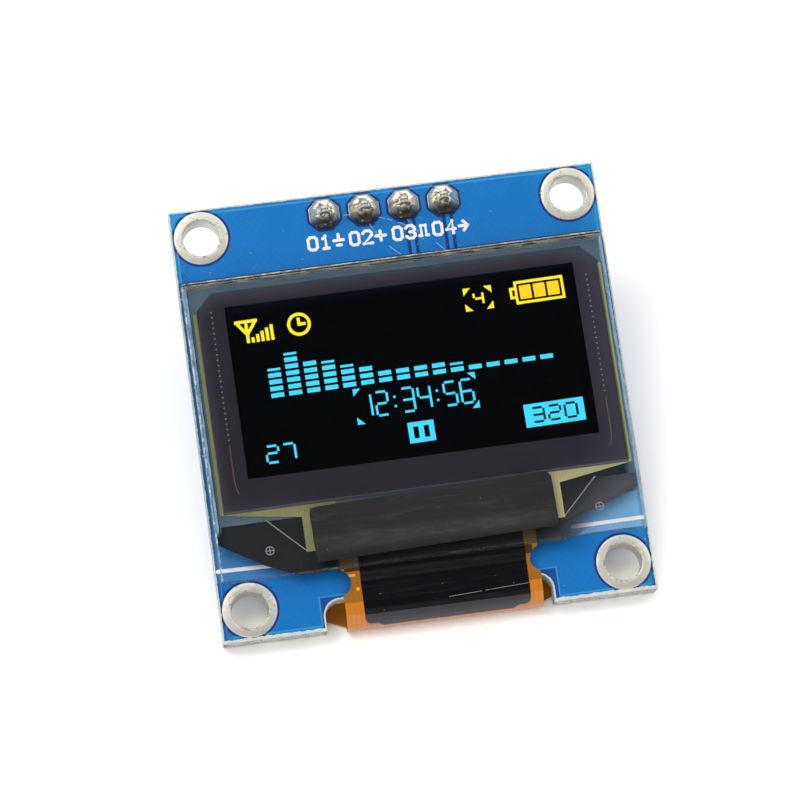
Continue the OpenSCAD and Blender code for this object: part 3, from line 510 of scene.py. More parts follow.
@material(Metallic=0.75)
def pin_metal(f):
    """Square pins with drawn lines, gold-flashed behind the board and tinned in front of it, with
    painted dark reflection lines across the tinned tips.
    """
    drawn = f.noise(9.0, 3.0, 0.6, (1, 1, 0.06))
    cloud = f.noise(1.2, 3.0)
    metal = f.mix(cloud, (226, 186, 104), (240, 206, 134))
    tinned = f.mix(cloud, (236, 230, 206), (252, 250, 238))
    # Painted reflection: dark lines across the tinned tips
    across = ((f.y - pin_y) * (math.tau / 0.24)).cosine()
    tinned = f.mix(f.ease(across, -0.2, 0.3) * 0.75, tinned, (70, 64, 56))
    metal = f.mix(f.z.over(face_z), metal, tinned)
    f.feed("Base Color", f.mix(drawn * 0.25, metal, (172, 150, 104)))
    f.feed("Roughness", 0.3 + drawn * 0.16)
    f.bump(drawn + cloud * 0.6, 0.012)


def plastic_finish(name, dark, light, rough, grain_scale):
    """Moulded plastic with a fine eroded grain and faint rubbed patches."""
    f = Finish(name)
    grain = f.noise(grain_scale, 3.0, 0.6)
    rubbed = f.ease(f.noise(0.8, 3.0, 0.6), 0.5, 0.75)
    dust = f.specks(2.4, 0.09)
    body = f.mix(rubbed, dark, light)
    f.feed("Base Color", f.mix(dust * 0.4, body, (150, 148, 142)))
    f.feed("Roughness", rough + grain * 0.14 - rubbed * 0.1)
    f.bump(grain, 0.012)
    return f.material


@material(Roughness=0.9)
def foam_tape(f):
    """Grey-white foam tape with open cells."""
    cells = f.noise(7.0, 3.0, 0.6)
    f.feed("Base Color", f.mix(cells, (168, 168, 160), (214, 213, 205)))
    f.bump(cells, 0.03)


dark_end_left, dark_end_right, dark_end_v = 7.0, 12.5, -5.2
glass_edge = 0.15
ledge_v = -6.7


@material(IOR=1.5, Specular_IOR_Level=0.8)
def back_glass(f):
    """Smoky back glass with dull, chipped, tan edges, darkest at the right end of its low edge."""
    u, v = f.display_place()
    along_end = u.over(dark_end_left) * f.fade(u, dark_end_right, dark_end_right + 0.5)
    low_right = v.under(dark_end_v) * along_end
    on_edge = f.upright()
    chips = f.ease(f.noise(3.5, 4.0, 0.7, (0.5, 1.0, 1.0)), 0.5, 0.6)
    smears = f.noise(0.3, 3.0, 0.6, warp=1.0)
    ground = f.mix(chips, (140, 134, 110), (236, 232, 214))
    body = f.mix(low_right * 0.9, (122, 144, 160), (22, 24, 28))
    f.feed("Base Color", f.mix(on_edge * (1 - low_right), body, ground))
    f.feed("Roughness", 0.05 + on_edge * 0.4 + smears * 0.04)
    cover = 0.5 + smears * 0.25 + on_edge * (0.15 + chips * 0.4)
    f.feed("Alpha", cover.most(low_right * 0.85))
    f.bump(chips * on_edge, 0.03)


@material(IOR=1.5, Specular_IOR_Level=0.8)
def front_glass(f):
    """Clear glass with chipped edges, with painted reflections of those edges as fine light and
    dark bands inside its face.
    """
    u, v = f.display_place()
    from_top = glass_half_h - v
    from_low = glass_half_h + v
    from_side = glass_half_w - abs(u)
    on_edge = f.upright()
    chips = f.ease(f.noise(3.5, 4.0, 0.7, (0.5, 0.5, 1.0)), 0.46, 0.58)
    smears = f.noise(0.3, 3.0, 0.6, warp=1.0)
    top_streaks = f.ease(f.noise(1.6, 4.0, 0.7, (0.5, 3.0, 1)), 0.42, 0.62)
    side_streaks = f.ease(f.noise(1.6, 4.0, 0.7, (3.0, 0.5, 1)), 0.42, 0.62)

    low_edge = from_low.under(glass_edge)
    side_edge = from_side.under(glass_edge) * (1 - low_edge)
    ground = f.mix(chips, (186, 170, 126), (246, 234, 202))
    ground = f.layered(ground, (side_edge, f.mix(chips, (136, 160, 172), (222, 233, 236))),
                       (low_edge, f.mix(chips, (34, 40, 46), (112, 120, 126))))
    body = f.mix(on_edge, (60, 72, 78), ground)

    upper = f.ease(v, ledge_v, ledge_v + 0.5)
    right = f.ease(u, -2.0, 2.0)
    left_upper = (1 - right) * upper
    # Painted reflections of the chipped edges: light and dark bands along the sides and the top,
    # inside the face
    light_side = f.band(from_side, 0.14, 0.27) * (0.3 + side_streaks * 0.5) * left_upper
    light_side = light_side.most(f.band(from_side, 0.03, 0.17) * (0.2 + side_streaks * 0.6) * right)
    dark_side = f.band(from_side, 0.3, 0.33, 0.02) * 0.6 * left_upper
    wide_side = f.band(from_side, 0.35, 0.42) * 0.4 * left_upper
    dark_top = f.band(from_top, 0.15, 0.21, 0.02) * 0.85
    light_top = f.band(from_top, 0.25, 0.4) * top_streaks * 0.6
    body = f.layered(body, (f.ease(wide_side, 0.0, 0.1), (72, 112, 142)),
                     (f.ease(light_side, 0.0, 0.1), (152, 190, 214)),
                     (f.ease(dark_side, 0.0, 0.2), (30, 58, 84)),
                     (f.ease(light_top, 0.0, 0.1), (158, 158, 140)),
                     (f.ease(dark_top, 0.0, 0.2), (42, 42, 34)))
    bands = light_side.most(dark_side).most(wide_side).most(dark_top).most(light_top)
    f.feed("Base Color", body)
    f.feed("Roughness", 0.05 + on_edge * 0.4 + smears * 0.04)
    over_flex = f.fade(abs(u - neck_middle), neck_half - 0.6, neck_half + 0.2)
    edge_cover = on_edge * (0.5 + chips * 0.4) * (1 - low_edge * (0.45 + over_flex * 0.4))
    f.feed("Alpha", (0.03 + smears * 0.015).most(bands).most(edge_cover))
    f.bump(chips * on_edge, 0.03)


@material(Roughness=0.85)
def getter(f):
    """Pale chalky sheet that takes up moisture."""
    chalk = f.noise(2.0, 4.0, 0.65)
    f.feed("Base Color", f.mix(chalk, (176, 176, 172), (214, 213, 208)))
    f.bump(chalk, 0.02)


@material(Roughness=0.5)
def seal(f):
    """Dark violet-grey cured glue between the two glasses."""
    cloud = f.noise(0.5, 4.0, 0.65)
    fine = f.noise(9.0, 2.0)
    glue = f.mix(cloud * 0.6 + fine * 0.3, (84, 78, 92), (98, 92, 110))
    f.feed("Base Color", f.mix(f.ease(f.x, 9.5, 12.6) * 0.7, glue, (116, 112, 134)))
    f.bump(fine, 0.004)


def between_squares(u, v):
    """Rises to 1 on the lines between the display's small squares."""
    turns = math.tau / lit_step
    return (u * turns).cosine().most((v * turns).cosine())


@material(Roughness=0.3, Specular_IOR_Level=0.1)
def dark_layer(f):
    """Unlit layer: near black, with a bluish first row and a faint grid."""
    u, v = f.picture_place()
    grid = between_squares(u, v)
    top = f.ease(v, 4.9, 5.6)
    dark = f.mix(f.ease(grid, 0.7, 1.0) * 0.5, (0, 0, 1), (3, 3, 8))
    f.feed("Base Color", f.mix(top * 0.6, dark, (26, 34, 60)))


light_strength = 2.6
yellow_high = span_of("yellow_pixels")[1]
battery_half = 1.575
battery_u = yellow_high.x - lit_centre.x - battery_half
battery_v = yellow_high.y - lit_centre.y - 0.95


def light_finish(name, glow, warm):
    """Lit squares, with the thin dark lines between them."""
    f = Finish(name, Roughness=0.6, Emission_Strength=light_strength)
    u, v = f.picture_place()
    dim = f.ease(between_squares(u, v), 0.55, 1.0)
    cell = abs(u - battery_u).under(battery_half - 0.2) * abs(v - battery_v).under(0.5)
    colour = f.mix(cell, glow, warm)
    uneven = f.noise(2.2, 2.0)
    colour = f.mix(uneven * 0.25, colour, warm)
    f.feed("Emission Color", f.mix(dim * 0.3, colour, (12, 12, 14)))
    f.feed("Base Color", f.mix(dim * 0.5, (40, 40, 40), (8, 8, 10)))
    return f.material


@material(Roughness=0.12, Specular_IOR_Level=0.3)
def polariser_film(f):
    """Smoky polarising film with a faint haze."""
    haze = f.noise(0.25, 3.0, 0.6, warp=0.8)
    on_edge = f.upright(0.8, 0.98)
    dust = f.drifts(0.9, 0.035, 0.4, 0.5)
    body = f.mix(haze, (2, 1, 3), (6, 5, 9))
    f.feed("Base Color", f.mix((on_edge * 0.5).most(dust * 0.8), body, (126, 130, 140)))
    f.feed("Alpha", 0.26 + haze * 0.04 + on_edge * 0.1 + dust * 0.4)


etched_lines = 34.0
slim_leg_middle, slim_leg_reach, slim_leg_top = 0.27, 8.17, -6.03


@material(Metallic=0.15, Roughness=0.42)
def electrode_metal(f):
    """Olive-gold metal film on the glass."""
    u, v = f.display_place()
    cloud = f.noise(1.1, 3.0, 0.6)
    lines = (f.x * etched_lines).cosine() * 0.5 + 0.5
    metal = f.mix(cloud, (150, 148, 96), (180, 176, 122))
    metal = f.mix(f.ease(u, -2.0, 2.0) * 0.75, metal, (222, 217, 158))
    slim = abs(u - slim_leg_middle).over(slim_leg_reach) * v.under(slim_leg_top)
    metal = f.mix(slim, metal, (158, 158, 152))
    f.feed("Base Color", f.mix(lines * 0.16, metal, (118, 114, 74)))
    f.bump(lines * 0.4 + cloud, 0.006)


film_cut_slope, film_cut_y = 0.36, -12.31
haze_left, haze_right = 7.3, 10.4


@material(Roughness=0.42, Specular_IOR_Level=0.2)
def black_film(f):
    """Smooth black film behind the ledge of the glass."""
    cloud = f.noise(0.6, 4.0, 0.65, warp=1.0)
    dust = f.drifts(1.8, 0.06, 0.6, 0.5)
    body = f.mix(cloud, (24, 24, 26), (36, 36, 38))
    # Painted light haze over the film towards its lower right
    body = f.mix(f.ease(f.x - f.y * 1.2, 17.6, 21.6) * 0.9, body, (86, 88, 96))
    f.feed("Base Color", f.mix(dust * 0.5, body, (130, 130, 132)))
    from_cut = f.y - f.x * film_cut_slope - film_cut_y + (f.noise(1.2, 3.0) - 0.5) * 0.2
    f.feed("Alpha", f.ease(from_cut, -0.2, 0.34).most(f.fade(f.x, haze_left, haze_right)))
    f.bump(cloud, 0.01)


@material(Specular_IOR_Level=0.25)
def black_tape(f):
    """Matt black tape with rubbed streaks along it and dust at its edges."""
    streaks = f.noise(0.7, 4.0, 0.7, (0.35, 2.2, 1), 0.6)
    fine = f.noise(7.0, 3.0, 0.6)
    rubbed = f.ease(streaks, 0.48, 0.75)
    hair = f.ease(f.noise(1.4, 2.0, 0.5, (0.12, 5.0, 1), 0.4), 0.66, 0.7)
    dust = f.drifts(2.2, 0.08, 0.8, 0.52)
    body = f.mix(rubbed, (36, 36, 38), (50, 50, 51))
    # A paler patchy band near the tape's lower part, painted shade on its lowest part, and darker
    # towards both ends
    patches = f.ease(f.noise(1.3, 4.0, 0.75, (0.5, 1.8, 1)), 0.4, 0.7)
    pale_band = f.band(-f.y, 8.5, 8.9, 0.5) * (0.35 + patches * 0.65)
    body = f.layered(body, (pale_band * 0.42, (78, 78, 78)),
                     (f.ease(-f.y, 9.2, 9.7) * 0.75, (20, 20, 21)),
                     (f.ease(abs(f.x), 4.0, 7.0) * 0.3, (28, 28, 30)),
                     (hair * 0.12, (96, 96, 98)))
    f.feed("Base Color", f.mix(dust * 0.5, body, (150, 150, 150)))
    f.feed("Roughness", 0.62 - rubbed * 0.14 + fine * 0.1)
    f.bump(fine * 0.4 + streaks, 0.02)


@material(Metallic=0.7)
def driver_silicon(f):
    """Back of the bare driver chip."""
    ground = f.noise(4.0, 3.0, 0.6, (0.3, 3.0, 1))
    f.feed("Base Color", f.mix(ground, (70, 72, 80), (112, 114, 122)))
    f.feed("Roughness", 0.22 + ground * 0.15)
    f.bump(ground, 0.004)


@material(Specular_IOR_Level=0.3)
def flex_amber(f):
    """Amber polyimide sheet with copper lines showing through it, blacked out under the glass."""
    cloud = f.noise(0.8, 3.0, 0.6)
    front = f.z.over(0.3)
    body = f.mix(cloud, (156, 94, 12), (178, 110, 18))
    # Painted light: the neck below the board is lighter where light comes through the amber; above,
    # where the board lies behind it, the amber stays darker as painted shade
    lower = f.fade(f.y, lower_neck_y, lower_neck_y + 0.1)
    body = f.mix(lower * front, body, (214, 128, 30))
    from_middle = abs(f.x - cover_middle)
    fold = f.fade(f.y, fold_y, fold_y + 0.1)
    bright_fold = f.mix(f.ease(from_middle, cover_half - 0.4, cover_half + 0.1),
                        (186, 138, 112), (224, 146, 74))
    body = f.mix(fold * front * (0.35 + f.noise(0.9, 3.0) * 0.9), body, bright_fold)
    lines = f.ease((f.x * (math.tau / copper_pitch)).cosine(), 0.2, 0.6)
    hidden = lines * f.ease(f.noise(0.5), 0.3, 0.5)
    f.feed("Roughness", 0.28 + cloud * 0.1)
    body = f.mix(hidden * 0.14, body, (150, 62, 6))
    hatch = f.ease((f.x * (math.tau / hatch_pitch)).cosine(), -0.3, 0.3)
    hatch = hatch * f.fade(f.y, board_low.y, board_low.y + 0.06)
    body = f.mix(hatch * 0.8, body, (214, 168, 142))
    beside = from_middle.over(cover_half)
    inset = (from_middle - (f.y - cover_end_y) * 2.4).under(cover_half - 0.34)
    past_cover = inset * f.band(f.y, board_low.y, cover_end_y) * f.z.over(1.0)
    body = f.mix(past_cover, body, (62, 63, 68))
    left_of_cover = cover_low.x - f.x
    dot = f.fade(away(left_of_cover - test_dot_inset, f.y - test_dot_y), 0.09, 0.15)
    pill = f.fade(abs(left_of_cover - test_pill_inset), 0.2, 0.26)
    pill = pill * f.fade(abs(f.y - test_pill_y), 0.05, 0.09)
    body = f.mix(dot.most(pill) * front, body, (255, 168, 52))
    above_cover = (1 - beside) * f.y.over(cover_high.y - 0.04) * f.z.over(0.3)
    under_glass = (f.y - f.x * math.tan(display_turn)).over(display_y - glass_half_h + 0.02)
    under_glass = under_glass * f.z.over(face_z)
    body = f.mix(under_glass * beside, body, (92, 78, 30))
    right_shade = f.y.over(-10.8) * f.band(f.x, cover_high.x - 0.2, cover_high.x + 0.42, 0.08)
    left_shade = f.y.over(-10.55) * f.band(-f.x, -cover_low.x - 0.2, 0.9 - cover_low.x, 0.08)
    shade = right_shade.most(left_shade) * (1 - under_glass) * front
    body = f.mix(shade * 0.85, body, (30, 20, 16))
    f.feed("Base Color", f.mix(above_cover, body, (20, 20, 23)))
    f.bump(cloud + hidden * 0.5, 0.01)


@material(Specular_IOR_Level=0.4)
def flex_cover_black(f):
    """Glossy black cover over the flex, with rubbed streaks along its run painted lighter as streak
    reflections, and a painted grey reflection on its fold.
    """
    streaks = f.noise(1.2, 4.0, 0.7, (0.16, 4.0, 4.0), 0.3)
    cloud = f.noise(0.9, 3.0)
    rubbed = f.ease(streaks, 0.5, 0.75)
    scratch = abs(f.y - scratch_y - f.x * scratch_slope)
    scratch = f.fade(scratch, 0.006, 0.026) * f.x.over(0.6) * f.noise(1.2).over(0.42)
    dust = f.drifts(2.0, 0.06, 0.8, 0.5)
    # Rubbed streaks, painted lighter as streak reflections
    body = f.mix(rubbed * (0.4 + f.ease(f.x, -1.0, 3.0) * 0.6), (13, 13, 18),
                 (26, 26, 33))
    # Painted grey reflection on the fold
    fold = f.fade(f.y, cover_fold_y, fold_y)
    body = f.mix(fold * 0.9, body, (64, 65, 70))
    f.feed("Base Color", f.mix((scratch * 0.55).most(dust * 0.5), body, (190, 190, 194)))
    f.feed("Roughness", 0.2 + rubbed * 0.12 + cloud * 0.06 + fold * 0.2)
    f.bump(streaks * 0.5 + cloud, 0.008)


def ceramic_finish(name, dark, light):
    """Fired ceramic with a fine sandy surface."""
    f = Finish(name)
    sand = f.noise(9.0, 3.0, 0.7)
    cloud = f.noise(1.2, 3.0)
    f.feed("Base Color", f.mix(cloud * 0.7 + sand * 0.3, dark, light))
    f.feed("Roughness", 0.5 + sand * 0.2)
    f.bump(sand, 0.008)
    return f.material


def print_finish(name, light, shade, rough):
    """Printed ink with a slightly broken surface."""
    f = Finish(name)
    broken = f.noise(5.0, 3.0, 0.7)
    f.feed("Base Color", f.mix(f.ease(broken, 0.5, 0.8), light, shade))
    f.feed("Roughness", rough + broken * 0.2)
    f.bump(broken, 0.006)
    return f.material


dull_solder = solder_finish("dull_solder", 0.2)
strip_plastic = plastic_finish("strip_plastic", (16, 16, 17), (34, 34, 36), 0.42, 8.0)
moulded_black = plastic_finish("moulded_black", (20, 20, 22), (40, 40, 42), 0.5, 11.0)
yellow_light = light_finish("yellow_light", (250, 236, 34), (255, 206, 24))
blue_light = light_finish("blue_light", (66, 212, 244), (50, 196, 246))
capacitor_ceramic = ceramic_finish("capacitor_ceramic", (150, 112, 76), (184, 146, 106))
resistor_ceramic = ceramic_finish("resistor_ceramic", (28, 28, 30), (46, 46, 50))
end_metal = solder_finish("end_metal", 0.28)
white_print = print_finish("white_print", (252, 253, 255), (222, 230, 238), 0.5)
bar_print = print_finish("bar_print", (255, 255, 255), (248, 252, 255), 0.4)
track_mask = print_finish("track_mask", (30, 138, 216), (14, 120, 204), 0.3)
torn_laminate = print_finish("torn_laminate", (222, 224, 216), (96, 90, 82), 0.7)
margin_dots = print_finish("margin_dots", (240, 238, 230), (206, 204, 196), 0.4)
margin_gold = print_finish("margin_gold", (206, 176, 100), (170, 150, 96), 0.4)

# ---- Shape tools --------------------------------------------------------------


def piece_from(name, mesh, finish):
    """Object for a finished mesh, which rides with the module."""
    piece = placed(name, mesh)
    mesh.materials.clear()
    mesh.materials.append(finish)
    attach(piece, "root")
    return piece


def settled(source):
    """Plain mesh of an object with its modifiers worked in."""
    depsgraph = bpy.context.evaluated_depsgraph_get()
    return bpy.data.meshes.new_from_object(source.evaluated_get(depsgraph),
                                           preserve_all_data_layers=True,
                                           depsgraph=depsgraph)


weld_reach = 0.002
flat_angle = math.radians(1)
bevel_angle = math.radians(32)


def edged(node, name, finish, edge, drawn_in=0.0):
    """Piece with small rounded edges that stands for a CAD node of the same shape."""
    work = placed(name, CAD[node].data.copy())
    shape = bmesh.new()
    shape.from_mesh(work.data)
    bmesh.ops.remove_doubles(shape, verts=shape.verts, dist=weld_reach * MM)
    bmesh.ops.dissolve_limit(shape, angle_limit=flat_angle, verts=shape.verts,
                             edges=shape.edges)
    if drawn_in:
        shape.normal_update()
        moves = {}
        for vertex in shape.verts:
            push = Vector((0, 0, 0))
            for face in vertex.link_faces:
                if push.dot(face.normal) < 0.999:
                    push += face.normal * (1 - push.dot(face.normal))
            moves[vertex] = push
        for vertex, push in moves.items():
            vertex.co -= push * drawn_in * MM
    shape.to_mesh(work.data)
    shape.free()
    for polygon in work.data.polygons:
        polygon.use_smooth = True
    bevel = work.modifiers.new("rounded edges", "BEVEL")
    bevel.width = edge * MM
    bevel.segments = 2
    bevel.limit_method = "ANGLE"
    bevel.angle_limit = bevel_angle
    bevel.use_clamp_overlap = True
    weighted = work.modifiers.new("flat faces stay flat", "WEIGHTED_NORMAL")
    weighted.keep_sharp = True
    mesh = settled(work)
    bpy.data.objects.remove(work)
    piece = piece_from(name, mesh, finish)
    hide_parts(node)


def dress(node, finish):
    """Gives a CAD node that stays its finish."""
    for slot in CAD[node].material_slots:
        slot.material = finish


def lathe(profile, centre, steps):
    """Closed ring turned from a closed outline of radius and height."""
    shape = bmesh.new()
    rings = []
    for i in range(steps):
        turn = math.tau * i / steps
        rings.append([shape.verts.new((centre.x + r * math.cos(turn),
                                       centre.y + r * math.sin(turn), h))
                      for r, h in profile])
    count = len(profile)
    for i in range(steps):
        here, there = rings[i], rings[(i + 1) % steps]
        for j in range(count):
            k = (j + 1) % count
            shape.faces.new((here[j], there[j], there[k], here[k]))
    return shape


def wall(shape, row, beyond):
    """Faces between two closed rows of points."""
    for i, point in enumerate(row):
        j = (i + 1) % len(row)
        shape.faces.new((point, row[j], beyond[j], beyond[i]))


def mesh_of(shape, name, smooth=True):
    """Mesh of a shape drawn in millimetres, with its faces outwards."""
    bmesh.ops.scale(shape, vec=(MM,) * 3, verts=shape.verts)
    bmesh.ops.recalc_face_normals(shape, faces=shape.faces)
    mesh = bpy.data.meshes.new(name)
    shape.to_mesh(mesh)
    shape.free()
    for polygon in mesh.polygons:
        polygon.use_smooth = smooth
    return mesh


class Growth:
    """Geometry Nodes tree with named inputs for its sizes."""

    def __init__(self, name, **sizes):
        self.tree = bpy.data.node_groups.new(name, "GeometryNodeTree")
        face = self.tree.interface
        face.new_socket("Geometry", in_out="INPUT", socket_type="NodeSocketGeometry")
        face.new_socket("Finish", in_out="INPUT", socket_type="NodeSocketMaterial")
        for label, kind in sizes.items():
            face.new_socket(label.replace("_", " "), in_out="INPUT",
                            socket_type="NodeSocket" + kind)
        face.new_socket("Geometry", in_out="OUTPUT", socket_type="NodeSocketGeometry")
        self.given = add_node(self.tree, "NodeGroupInput", None, None).outputs

    def node(self, kind, settings=None, values=None):
        """First output of one new node."""
        return add_node(self.tree, kind, settings, values).outputs[0]

    def vector(self, x=0.0, y=0.0, z=0.0):
        return self.node("ShaderNodeCombineXYZ", None, {0: x, 1: y, 2: z})

    def end(self, geometry):
        """Real faces with the finish, as the tree's result."""
        real = self.node("GeometryNodeRealizeInstances", None, {0: geometry})
        done = self.node("GeometryNodeSetMaterial", None,
                         {0: real, "Material": self.given["Finish"]})
        add_node(self.tree, "NodeGroupOutput", None, {0: done})

    def grow(self, name, mesh, finish, slot, sizes):
        """Piece grown from a mesh of points or paths."""
        seed = placed(name, mesh)
        modifier = seed.modifiers.new(self.tree.name, "NODES")
        modifier.node_group = self.tree
        for item in self.tree.interface.items_tree:
            if item.in_out == "INPUT" and item.name in sizes:
                modifier[item.identifier] = sizes[item.name]
            if item.in_out == "INPUT" and item.name == "Finish":
                modifier[item.identifier] = finish
        grown = settled(seed)
        bpy.data.objects.remove(seed)
        piece_from(name, grown, finish)


def printed_lines():
    """Low rounded lines along paths, as ink or a covered track leaves them."""
    g = Growth("printed lines", Line_width="Float", Print_height="Float", Base="Float")
    size = g.given
    radius = g.node("ShaderNodeMath", {"operation": "MULTIPLY"}, {0: size["Line width"], 1: 0.5})
    curve = g.node("GeometryNodeMeshToCurve", None, {0: size["Geometry"]})
    circle = g.node("GeometryNodeCurvePrimitiveCircle", None,
                    {"Resolution": 10, "Radius": radius})
    swept = g.node("GeometryNodeCurveToMesh", None, {0: curve, 1: circle, "Fill Caps": True})
    ball = g.node("GeometryNodeMeshUVSphere", None,
                  {"Segments": 12, "Rings": 6, "Radius": radius})
    balls = g.node("GeometryNodeInstanceOnPoints", None,
                   {"Points": size["Geometry"], "Instance": ball})
    both = g.node("GeometryNodeJoinGeometry", None, {0: [swept, balls]})
    real = g.node("GeometryNodeRealizeInstances", None, {0: both})
    flat = g.node("ShaderNodeMath", {"operation": "DIVIDE"}, {0: size["Print height"], 1: radius})
    moved = g.node("GeometryNodeTransform", None,
                   {0: real, "Translation": g.vector(z=size["Base"]),
                    "Scale": g.vector(1.0, 1.0, flat)})
    g.end(moved)
    return g


def small_squares():
    """Small square prisms, one on each point."""
    g = Growth("small squares", Square_width="Float", Layer_height="Float", Turn="Float")
    size = g.given
    wide, high = size["Square width"], size["Layer height"]
    block = g.node("GeometryNodeMeshCube", None, {"Size": g.vector(wide, wide, high)})
    blocks = g.node("GeometryNodeInstanceOnPoints", None,
                    {"Points": size["Geometry"], "Instance": block,
                     "Rotation": g.vector(z=size["Turn"])})
    g.end(blocks)
    return g


def torn_grains():
    """Small angular grains scattered round each point, as a broken edge leaves them."""
    g = Growth("torn grains", Grain="Float", Spread="Vector", Seed="Int")
    size = g.given
    back = g.node("ShaderNodeVectorMath", {"operation": "SCALE"}, {0: size["Spread"], 3: -1.0})
    moves = g.node("FunctionNodeRandomValue", {"data_type": "FLOAT_VECTOR"},
                   {0: back, 1: size["Spread"], 8: size["Seed"]})
    strewn = g.node("GeometryNodeSetPosition", None, {0: size["Geometry"], "Offset": moves})
    stone = g.node("GeometryNodeMeshIcoSphere", None, {"Radius": size["Grain"], 1: 1})
    spins = g.node("FunctionNodeRandomValue", {"data_type": "FLOAT_VECTOR"},
                   {0: (0.0, 0.0, 0.0), 1: (6.0, 6.0, 6.0), 8: 5})
    scales = g.node("FunctionNodeRandomValue", {"data_type": "FLOAT_VECTOR"},
                    {0: (0.35, 0.3, 0.3), 1: (1.0, 0.8, 0.8), 8: 9})
    grains = g.node("GeometryNodeInstanceOnPoints", None,
                    {"Points": strewn, "Instance": stone, "Rotation": spins, "Scale": scales})
    g.end(grains)
    return g


def via_rings():
    """Low round rings, one on each point, as covered holes through a board show."""
    g = Growth("via rings", Ring_radius="Float", Rim="Float", Flatness="Float")
    size = g.given
    loop = g.node("GeometryNodeCurvePrimitiveCircle", None,
                  {"Resolution": 20, "Radius": size["Ring radius"]})
    rim = g.node("GeometryNodeCurvePrimitiveCircle", None,
                 {"Resolution": 8, "Radius": size["Rim"]})
    ring = g.node("GeometryNodeCurveToMesh", None, {0: loop, 1: rim})
    low = g.node("GeometryNodeTransform", None,
                 {0: ring, "Scale": g.vector(1.0, 1.0, size["Flatness"])})
    rings = g.node("GeometryNodeInstanceOnPoints", None,
                   {"Points": size["Geometry"], "Instance": low})
    g.end(rings)
    return g


lines_tree = printed_lines()
squares_tree = small_squares()
grains_tree = torn_grains()
vias_tree = via_rings()


def path_mesh(name, paths):
    """Mesh of open paths, in millimetres on the plane at height 0."""
    points, edges = [], []
    for path in paths:
        first = len(points)
        points += [(x * MM, y * MM, 0) for x, y in path]
        edges += [(first + i, first + i + 1) for i in range(len(path) - 1)]
    mesh = bpy.data.meshes.new(name)
    mesh.from_pydata(points, edges, [])
    return mesh


def print_on(name, paths, finish, slot, width, height, base):
    """Printed lines along paths."""
    lines_tree.grow(name, path_mesh(name, paths), finish, slot,
                    {"Line width": width * MM, "Print height": height * MM, "Base": base * MM})


def points_mesh(name, points):
    """Mesh of loose points, in millimetres."""
    mesh = bpy.data.meshes.new(name)
    mesh.from_pydata([(x * MM, y * MM, z * MM) for x, y, z in points], [], [])
    return mesh


# ---- Circuit board ------------------------------------------------------------

edged("circuit_board", "board_with_mask", board_mask, 0.03)

grain_step = 0.045
grain_runs = int((board_high.x - notch_half - 0.3) / grain_step)
grain_points = [(side * (notch_half + 0.15 + i * grain_step), board_low.y + 0.01,
                 face_z * (0.1 + 0.8 * ((i * 0.618) % 1.0)))
                for side in (-1, 1) for i in range(grain_runs)]
grains_tree.grow("torn_edge", points_mesh("torn_edge", grain_points), torn_laminate, "board",
                 {"Grain": 0.1 * MM, "Spread": (0.03 * MM, 0.012 * MM, 0.1 * MM), "Seed": 3})
lump_points = [(point[0], board_low.y + 0.06, 0.12 + 0.5 * ((i * 0.382) % 1.0))
               for i, point in enumerate(grain_points) if i % 3 == 0]
grains_tree.grow("torn_lumps", points_mesh("torn_lumps", lump_points), torn_laminate, "board",
                 {"Grain": 0.15 * MM, "Spread": (0.05 * MM, 0.01 * MM, 0.1 * MM), "Seed": 8})


def ring_profile():
    """Outline of a plated ring: flat lands and round shoulders into the barrel."""
    outer = (ring_high.x - ring_low.x) / 2
    inner = 1.15
    top, low = ring_high.z, ring_low.z
    land, shoulder, dish = 0.06, 0.09, 0.004
    outline = [(outer, low + land), (outer, top - land)]
    outline += [(outer - land * 0.3, top - land * 0.3), (outer - land, top)]
    outline += [(inner + shoulder + 0.05, top - dish)]
    for start, centre_z in ((90, top - shoulder), (180, low + shoulder)):
        for i in range(7):
            a = math.radians(start + 15 * i)
            outline.append((inner + shoulder + shoulder * math.cos(a),
                            centre_z + shoulder * math.sin(a)))
    outline += [(outer - land, low), (outer - land * 0.3, low + land * 0.3)]
    return outline


for i in range(1, 5):
    low, high = span_of(f"hole_plating_{i}")
    ring = lathe(ring_profile(), (low + high) / 2, 96)
    piece = piece_from(f"plated_ring_{i}", mesh_of(ring, f"plated_ring_{i}"), tinned_rings)
    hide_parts(f"hole_plating_{i}")


def solder_dome(centre, base, top, across, seed):
    """Solder that starts on an octagonal pad, keeps its eight facets and closes on the pin."""
    shape = bmesh.new()
    steps, levels = 64, 24
    wide, narrow = across / 2, 0.27
    rings = []
    for k in range(levels + 1):
        near = (k / levels) ** 1.3
        reach = wide + (narrow - wide) * near
        dome = math.sqrt(1 - (1 - near) ** 2)
        height = base + (top - base) * (0.45 * dome + 0.55 * near)
        facet = (1 - near ** 3) * 0.96
        ring = []
        for i in range(steps):
            a = math.tau * i / steps
            fold = (a + math.pi / 8) % (math.pi / 4) - math.pi / 8
            r = reach * (1 + facet * (1 / math.cos(fold) - 1))
            swell = 0.05 * math.sin(3 * a + seed) * math.sin(math.pi * near)
            ring.append(shape.verts.new((centre.x + r * math.cos(a),
                                         centre.y + r * math.sin(a), height + swell)))
        rings.append(ring)
    for ring, above in zip(rings, rings[1:]):
        wall(shape, ring, above)
    shape.faces.new(rings[-1])
    shape.faces.new(rings[0])
    return shape


for i in range(1, 5):
    low, high = span_of(f"solder_joint_{i}")
    centre = (low + high) / 2
    land_z = span_of(f"pin_pad_{i}")[1].z
    dome = solder_dome(centre, land_z, high.z, (high.x - low.x) * 0.995, i * 1.3)
    piece = piece_from(f"solder_dome_{i}", mesh_of(dome, f"solder_dome_{i}"), pin_solder)
    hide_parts(f"solder_joint_{i}")
    edged(f"pin_pad_{i}", f"pin_land_{i}", pin_solder, 0.02)
    edged(f"header_pin_{i}", f"square_pin_{i}", pin_metal, 0.06)

edged("header_strip", "pin_strip", strip_plastic, 0.05)

